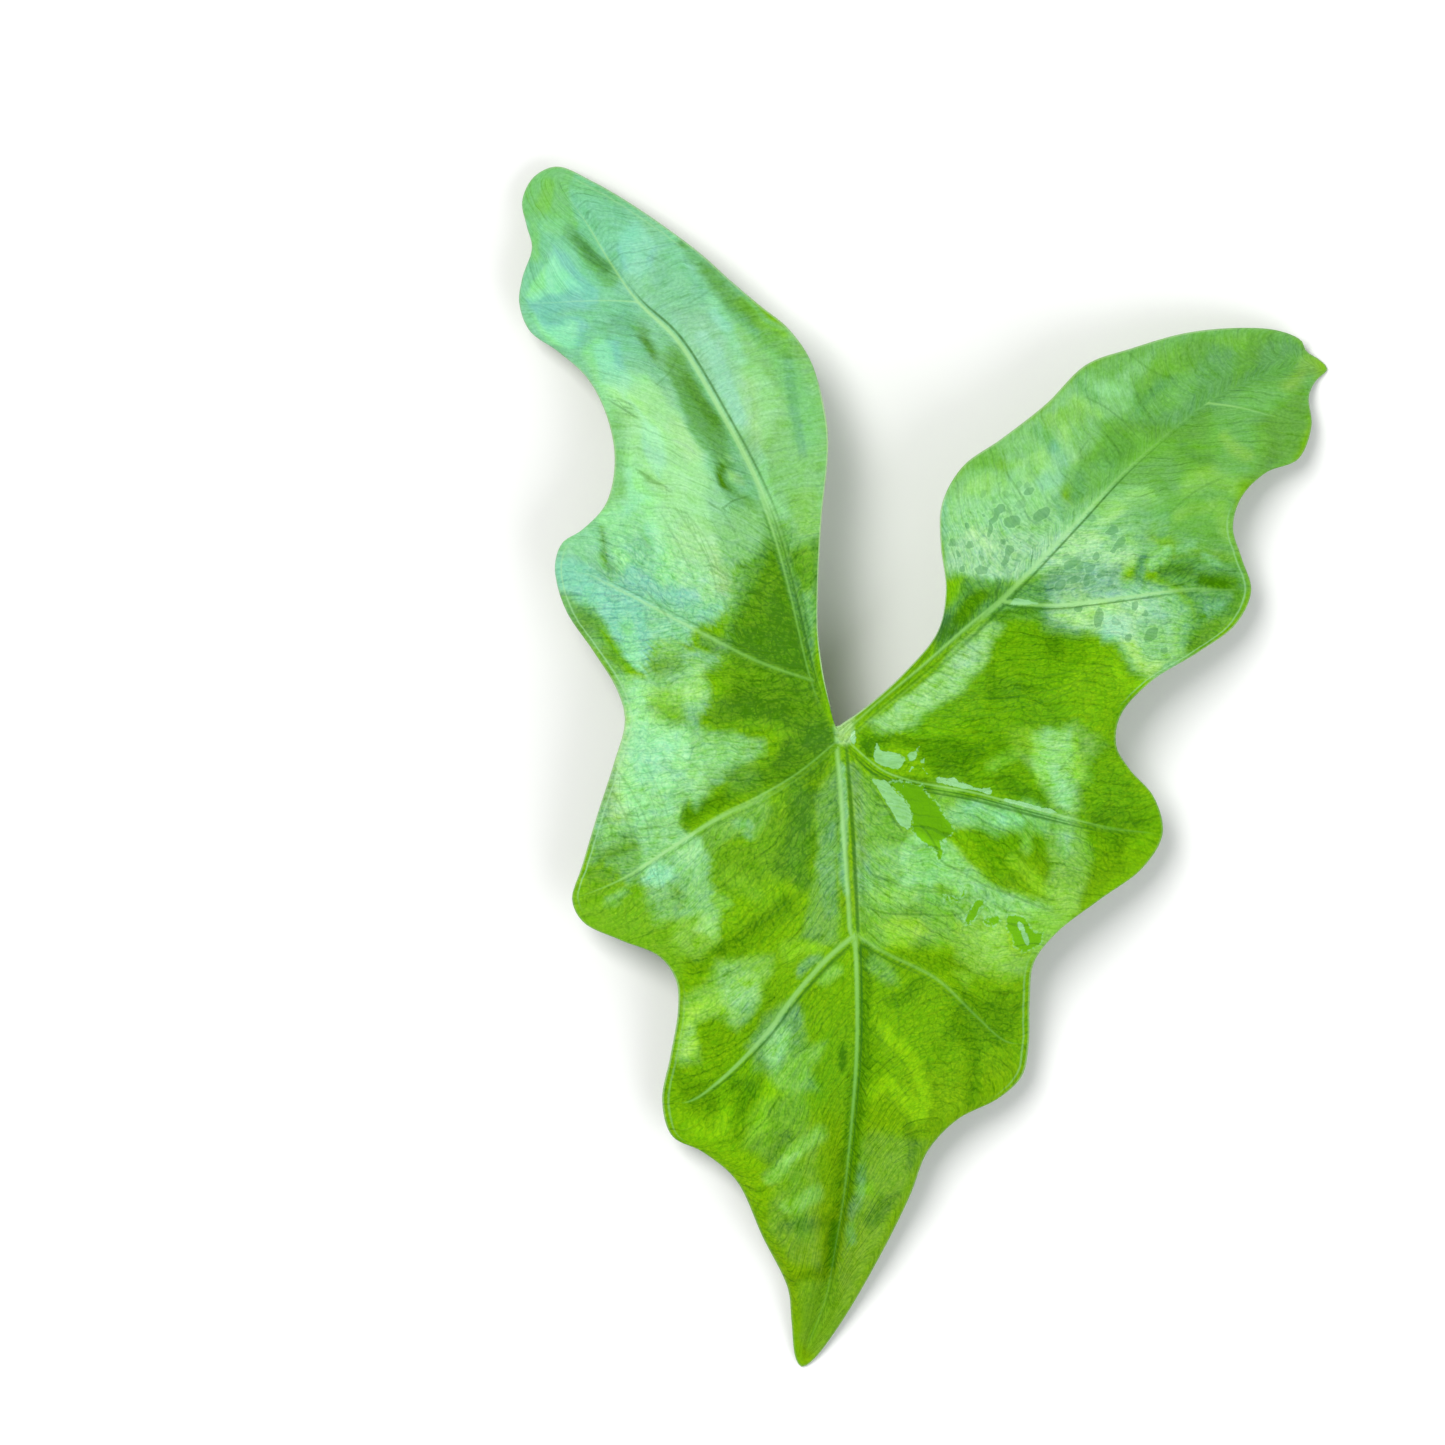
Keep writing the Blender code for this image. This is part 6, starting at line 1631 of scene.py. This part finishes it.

# %% [markdown]
# Colour of the upper face. Four greens span the plain leaf: dark and light, cool and warm. Light and warmth
# from the strokes choose between them, and noise along the grain breaks them up; the light holds painted
# shade and painted highlights as well as the green's own tone. The painted sheen adds the pale blue of the
# sky, a painted reflection. Over that come dried splashes, veins and creases with their painted shadows and
# highlights, the water with its painted reflection, and last the thin pale rim.

# %% Green tissue under the painted sky sheen
DARK_COOL = (0.042, 0.170, 0.0000, 1)
DARK_WARM = (0.064, 0.170, 0.0000, 1)
LIGHT_COOL = (0.267, 0.820, 0.0040, 1)
LIGHT_WARM = (0.503, 0.820, 0.0040, 1)
FULL_LIGHT = 1.25   # the light at which these two stand
# The pale blue of the sky that the glossy sheet reflects, painted into the colour.
SKY_REFLECTION = (0.0, 0.0, 0.430, 1)
# The painted sky sheen, and the light, which holds painted shade and painted highlights as well as the
# green's own tone.
painted_sheen = sheet.value("painted_sheen")
light = sheet.value("light")
puckered = sheet.value("puckered")
edge_zone = painted_sheen * (1 - painted_sheen) * 3.0
warmth = sheet.value("warmth") + cloud * 0.25 + streak * 0.2 + quick * 0.35
warmth = warmth + (hair + grit * 0.6) * (0.3 + puckered * 0.7)
broken = streak * 0.60 + hair * 0.55 + band * 0.25 + grit * 0.30 + quick * puckered * 0.35
broken = broken * (0.85 + puckered * (0.15 + edge_zone * 0.35))
# The small veins, their mesh and the hatch darken the green as painted shade in their impressed grooves, and
# thin the painted sheen there.
lines = small_veins * 0.10 + fine_mesh * 0.055 + wide_mesh * (0.03 + puckered * 0.06)
lines = lines + hatch * (0.02 + painted_sheen * 0.08)
# How much painted sky reflection lies on the green here.
sheen_share = (painted_sheen + (broken + quick * 0.35) * (edge_zone * 0.9 + painted_sheen * 0.30) - lines * painted_sheen * 1.1).most(0.0)
lit = light * 1.07 + 0.025 + broken * (edge_zone * 0.40 + 0.17 + light * 0.15)
lit = lit + grit * (0.20 + puckered * 0.12) + cloud * 0.03
lit = lit - lines * (0.65 + light * 0.7 + puckered * 0.5)
# The stipple's painted glints lighten the green where little painted sheen lies.
lit = (lit + stipple * (1 - painted_sheen) * 0.14) / FULL_LIGHT
cool_green = sheet.mix(DARK_COOL, LIGHT_COOL, lit)
warm_green = sheet.mix(DARK_WARM, LIGHT_WARM, lit)
colour = sheet.mix(cool_green, warm_green, warmth)
colour = sheet.node("ShaderNodeMix", {"data_type": "RGBA", "blend_type": "ADD"},
                    {"Factor_Float": sheen_share, "A_Color": colour, "B_Color": SKY_REFLECTION}, output=2)
sheet.tell()

# %% Dried splashes: rounded spots, each of its own size
SPLASH_GREEN = (0.085, 0.270, 0.100, 1)
SPLASH_RING = (0.420, 0.780, 0.400, 1)
SPOT = 3.0      # mm between the small spots
spot_grid = sheet.stretch(place, (1 / (SPOT * MM), 1 / (SPOT * MM), 0))
spot_parts = sheet.node("ShaderNodeSeparateXYZ", {}, {"Vector": spot_grid})
spot_shift = slow * 1.2 + sheet.noise(place, 300, 2.0, 0.5) * 0.9
spot_place = sheet.vector(spot_parts + quick * 0.9, spot_parts.output("Y") + spot_shift)
spot = sheet.cells(spot_place, "F1", 1.0)
spot_size = sheet.node("ShaderNodeSeparateColor", {}, {"Color": spot.output("Color")})
splashed_here = (sheet.value("splash") + cloud * 0.9).step(0.3, 0.8)
small_spot = (1 - (spot - spot_size * 0.44).step(0.0, 0.07)) * splashed_here
spot_edge = sheet.value("spot") + quick * 0.5 + sheet.noise(place, 1000, 2.0, 0.5) * 0.35
big_spot = spot_edge.step(-0.02, 0.12)
spot_ring = spot_edge.step(-0.30, -0.05) * (1 - big_spot)
splash = (big_spot + small_spot * 0.6).least(1.0)
colour = sheet.mix(colour, SPLASH_RING, spot_ring * 0.13)
colour = sheet.mix(colour, SPLASH_GREEN, splash * (0.56 + grit * 0.3))
sheet.tell()

# %% Ribs and creases, with painted shadows, highlights and shade
RIB_GREEN = (0.180, 0.450, 0.070, 1)
RIB_LIGHT = (0.340, 0.630, 0.195, 1)
RIB_PALE_SHEEN = (0.340, 0.640, 0.310, 1)
RIB_DARK = (0.030, 0.140, 0.008, 1)
dark = sheet.value("vein_shadow")
pale_rib = sheet.value("vein_pale")
# Painted shadow beside the ribs and shade in their grooves.
colour = sheet.mix(colour, RIB_DARK, (dark.step(0.05, 0.85) * (0.75 + streak * 0.8)).least(0.85))
# The ribs' pale colour, lighter with the painted light, bluer under the painted sky sheen, and a painted
# highlight on the lit edges.
rib_colour = sheet.mix(sheet.mix(RIB_GREEN, RIB_LIGHT, light * 1.6 - 0.2), RIB_PALE_SHEEN, painted_sheen * 1.1)
colour = sheet.mix(colour, rib_colour, pale_rib.step(0.05, 0.85) * (0.84 + hair * 0.5))
# Painted shade in the single creases.
colour = sheet.mix(colour, RIB_DARK, crease * 0.45)
sheet.tell()

# %% Water: dry windows, drops with froth and a painted reflection, and a painted highlight where the film ends
# The pale colour of froth and of the water's reflection, painted.
FROTH_AND_SHEEN = (0.270, 0.600, 0.260, 1)
WET_GREEN = (0.115, 0.350, 0.0025, 1)
WET_LIGHT = (0.190, 0.560, 0.0060, 1)
ragged = sheet.noise(place, 900, 3.0, 0.6) * 1.5 + quick * 0.8
dry_edge = sheet.value("window_mm") + ragged
drop_edge = sheet.value("drop_mm") + ragged * 0.7
dry = dry_edge.step(-0.05, 0.12)
drop = drop_edge.step(-0.06, 0.10)
# A painted highlight along the line where the film ends.
shore_highlight = (1 - abs(dry_edge + 0.12).step(0.05, 0.40)) * (grit + 0.5).step(0.40, 0.60)
dry_tissue = sheet.mix(WET_GREEN, WET_LIGHT, light * 1.8 - 0.8 + broken * 0.5)
# In the windows too the small veins and creases darken the green as painted shade.
dry_tissue = sheet.mix(dry_tissue, RIB_DARK, small_veins * 0.4 + fine_mesh * 0.10 + crease * 0.5 + grit * 0.2)
colour = sheet.mix(colour, dry_tissue, dry)
colour = sheet.mix(colour, FROTH_AND_SHEEN, shore_highlight * 0.55)
# The drops' pale colour: froth, and a painted reflection on the water.
colour = sheet.mix(colour, FROTH_AND_SHEEN, drop * (0.70 + hair * 0.9 + quick * 0.5))
sheet.tell()

# %% The rim
RIM_PALE = (0.400, 0.600, 0.300, 1)
edge = sheet.value("edge_mm")
rim_line = (1 - edge.step(0.20, 0.62)) * (0.18 + sheet.value("rim_pale") * 0.72)
inside_line = (1 - abs(edge - 1.65 + quick * 0.5).step(0.05, 0.42)) * sheet.value("inner_vein")
colour = sheet.mix(colour, RIM_PALE, rim_line)
colour = sheet.mix(colour, RIB_PALE_SHEEN, inside_line * 0.55)
sheet.tell()

# %% [markdown]
# The lower face is duller and paler than the upper one, with pale round ribs and a raised net. The same
# material serves both, and an attribute tells the faces apart.

# %% The lower face
UNDER_GREEN = (0.150, 0.310, 0.075, 1)
UNDER_LIGHT = (0.230, 0.420, 0.120, 1)
UNDER_RIB = (0.400, 0.560, 0.200, 1)
under = sheet.value("under")
rib = sheet.value("rib")
below = sheet.mix(UNDER_GREEN, UNDER_LIGHT, (cloud + band + 0.5).step(0.25, 0.8))
below = sheet.mix(below, UNDER_RIB, small_veins * 0.55 + fine_mesh * 0.25)
below = sheet.mix(below, UNDER_RIB, (1 - rib.step(0.8, 1.15)) * 0.9)
below = sheet.mix(below, RIM_PALE, (1 - edge.step(0.25, 1.0)) * 0.5)
colour = sheet.mix(colour, below, under.step(0.4, 0.6))
sheet.tell()

# %% Gloss and relief of the sheet
gloss = 0.40 - painted_sheen * 0.05 + cloud * 0.12 + splash * 0.15 + streak * 0.10
gloss = gloss * (1 - drop) + drop * 0.12
gloss = gloss * (1 - under) + under * 0.55
between = (1 - small_veins) * 0.55 + (1 - fine_mesh) * 0.22 + (1 - hatch) * painted_sheen * 0.30 + hair * 0.35
relief = between * (1 - under * 1.8) * (0.25 + rib.step(0.7, 1.8) * 0.75)
relief = relief + drop * 0.5 - crease * 0.5 + grit * 0.05
leaf_looks = {
    "Base Color": colour,
    "Roughness": gloss,
    "Specular IOR Level": 0.03,
    "Coat Weight": (painted_sheen * 0.05 + drop * 0.5) * (1 - under),
    "Coat Roughness": 0.22,
}
mesh.materials.append(sheet.finish(leaf_looks, height=relief, height_mm=0.16, bump=0.8))
print("leaf material:", len(sheet.tree.nodes), "nodes")

# %% [markdown]
# The petiole is brownish pink under a fine pale mottling, greener where it joins the blade, and its cut
# end shows pale wet flesh with darker dots.

# %% The petiole's material
skin = Paint("leaf_stalk")
skin_place = skin.place()
length = skin.value("length_mm")
fleck = skin.noise(skin_place, 900, 3.0, 0.65)
patch = skin.noise(skin_place, 260, 2.0, 0.6)
STALK_TAN = (0.430, 0.285, 0.190, 1)
STALK_PINK = (0.300, 0.150, 0.110, 1)
STALK_PALE = (0.600, 0.480, 0.340, 1)
STALK_GREEN = (0.300, 0.420, 0.110, 1)
FLESH = (0.560, 0.620, 0.340, 1)
FLESH_DOT = (0.250, 0.300, 0.120, 1)
DOTS = 1500         # to the metre
bark = skin.mix(STALK_TAN, STALK_PINK, (fleck + patch * 0.6).step(-0.04, 0.12) * 0.75)
bark = skin.mix(bark, STALK_PALE, (patch * 0.5 - fleck).step(0.06, 0.20) * 0.8)
bark = skin.mix(bark, STALK_GREEN, (1 - (length + patch * 14).step(2, 17)) * 0.85)
dots = skin.cells(skin.stretch(skin_place, (DOTS, DOTS, DOTS)), "F1", 0.8)
cut = skin.mix(FLESH, FLESH_DOT, (1 - dots.step(0.16, 0.30)) * 0.8)
flesh_mask = skin.value("flesh").step(0.4, 0.9)
bark = skin.mix(bark, cut, flesh_mask)
stalk_looks = {
    "Base Color": bark,
    "Roughness": 0.50 - flesh_mask * 0.2 + fleck * 0.2,
    "Specular IOR Level": 0.45,
}
stalk_relief = fleck * 0.6 + patch * 0.4
petiole.data.materials.append(skin.finish(stalk_looks, height=stalk_relief, height_mm=0.12, bump=0.6))
print("stalk material:", len(skin.tree.nodes), "nodes")

# %% [markdown]
# The stage is a pale table that runs out of the picture, one large soft light high on the left, a weaker
# one on the right, and a pale sky. The camera looks straight down through a long lens, so the leaf keeps
# its outline from tip to lobes.

# %% The table
TABLE = 3.0             # half its width in metres
TABLE_DROP = 0.0002     # metres, so that the leaf's flat places aren't drawn twice
TABLE_TONE = (0.86, 0.86, 0.85, 1)
TABLE_LIGHT = (0.89, 0.89, 0.88, 1)
table_mesh = bpy.data.meshes.new("table")
corners = [(-1, -1), (1, -1), (1, 1), (-1, 1)]
table_mesh.from_pydata([(TABLE * x, TABLE * y, -TABLE_DROP) for x, y in corners], [], [(0, 1, 2, 3)])
table = bpy.data.objects.new("table", table_mesh)
bpy.context.scene.collection.objects.link(table)
pale = Paint("pale_table")
table_tone = pale.mix(TABLE_TONE, TABLE_LIGHT, pale.noise(pale.place(), 30, 2.0) + 0.5)
table_looks = {"Base Color": table_tone, "Roughness": 0.75, "Specular IOR Level": 0.2}
table_mesh.materials.append(pale.finish(table_looks))
print("table: %.0f m wide" % (2 * TABLE))

# %% Lights
SKY_TINT, SKY_STRENGTH = (0.96, 0.98, 1.0), 0.43


def soft_light(name, place, size, power, tint):
    """A square area light at a place in metres, turned towards the leaf."""
    lamp = bpy.data.lights.new(name, "AREA")
    lamp.shape = "SQUARE"
    lamp.size = size
    lamp.energy = power
    lamp.color = tint
    holder = bpy.data.objects.new(name, lamp)
    holder.location = place
    holder.rotation_euler = holder.location.normalized().to_track_quat("Z", "Y").to_euler()
    bpy.context.scene.collection.objects.link(holder)
    return holder


soft_light("window", (-1.00, 0.80, 2.75), 1.4, 66, (1.0, 1.0, 0.98))
soft_light("fill", (1.50, -1.20, 2.10), 1.8, 32, SKY_TINT)
sky = bpy.data.worlds.new("sky")
bpy.context.scene.world = sky
sky.use_nodes = True
background = sky.node_tree.nodes["Background"]
background.inputs["Color"].default_value = (*SKY_TINT, 1)
background.inputs["Strength"].default_value = SKY_STRENGTH
bpy.context.scene.view_settings.view_transform = "Standard"

# %% Camera
PHOTO_SIZE = 1445           # pixels of the square view
MM_PER_PIXEL = 0.25
JOINT_PIXEL = (842, 740)    # where the photo shows the joint
SHARP_HEIGHT = 18.0         # mm above the table at which the scale is exact
CAMERA_HEIGHT = 4000.0      # mm
SENSOR = 36.0               # mm
centre_x = joint_at[0] + (PHOTO_SIZE / 2 - JOINT_PIXEL[0]) * MM_PER_PIXEL
centre_y = joint_at[1] + (JOINT_PIXEL[1] - PHOTO_SIZE / 2) * MM_PER_PIXEL
lens = bpy.data.cameras.new("camera")
lens.sensor_width = SENSOR
lens.lens = SENSOR * (CAMERA_HEIGHT - SHARP_HEIGHT) / (PHOTO_SIZE * MM_PER_PIXEL)
camera = bpy.data.objects.new("camera", lens)
camera.location = (centre_x * MM, centre_y * MM, CAMERA_HEIGHT * MM)
bpy.context.scene.collection.objects.link(camera)
bpy.context.scene.camera = camera
print("lens %.0f mm" % lens.lens)
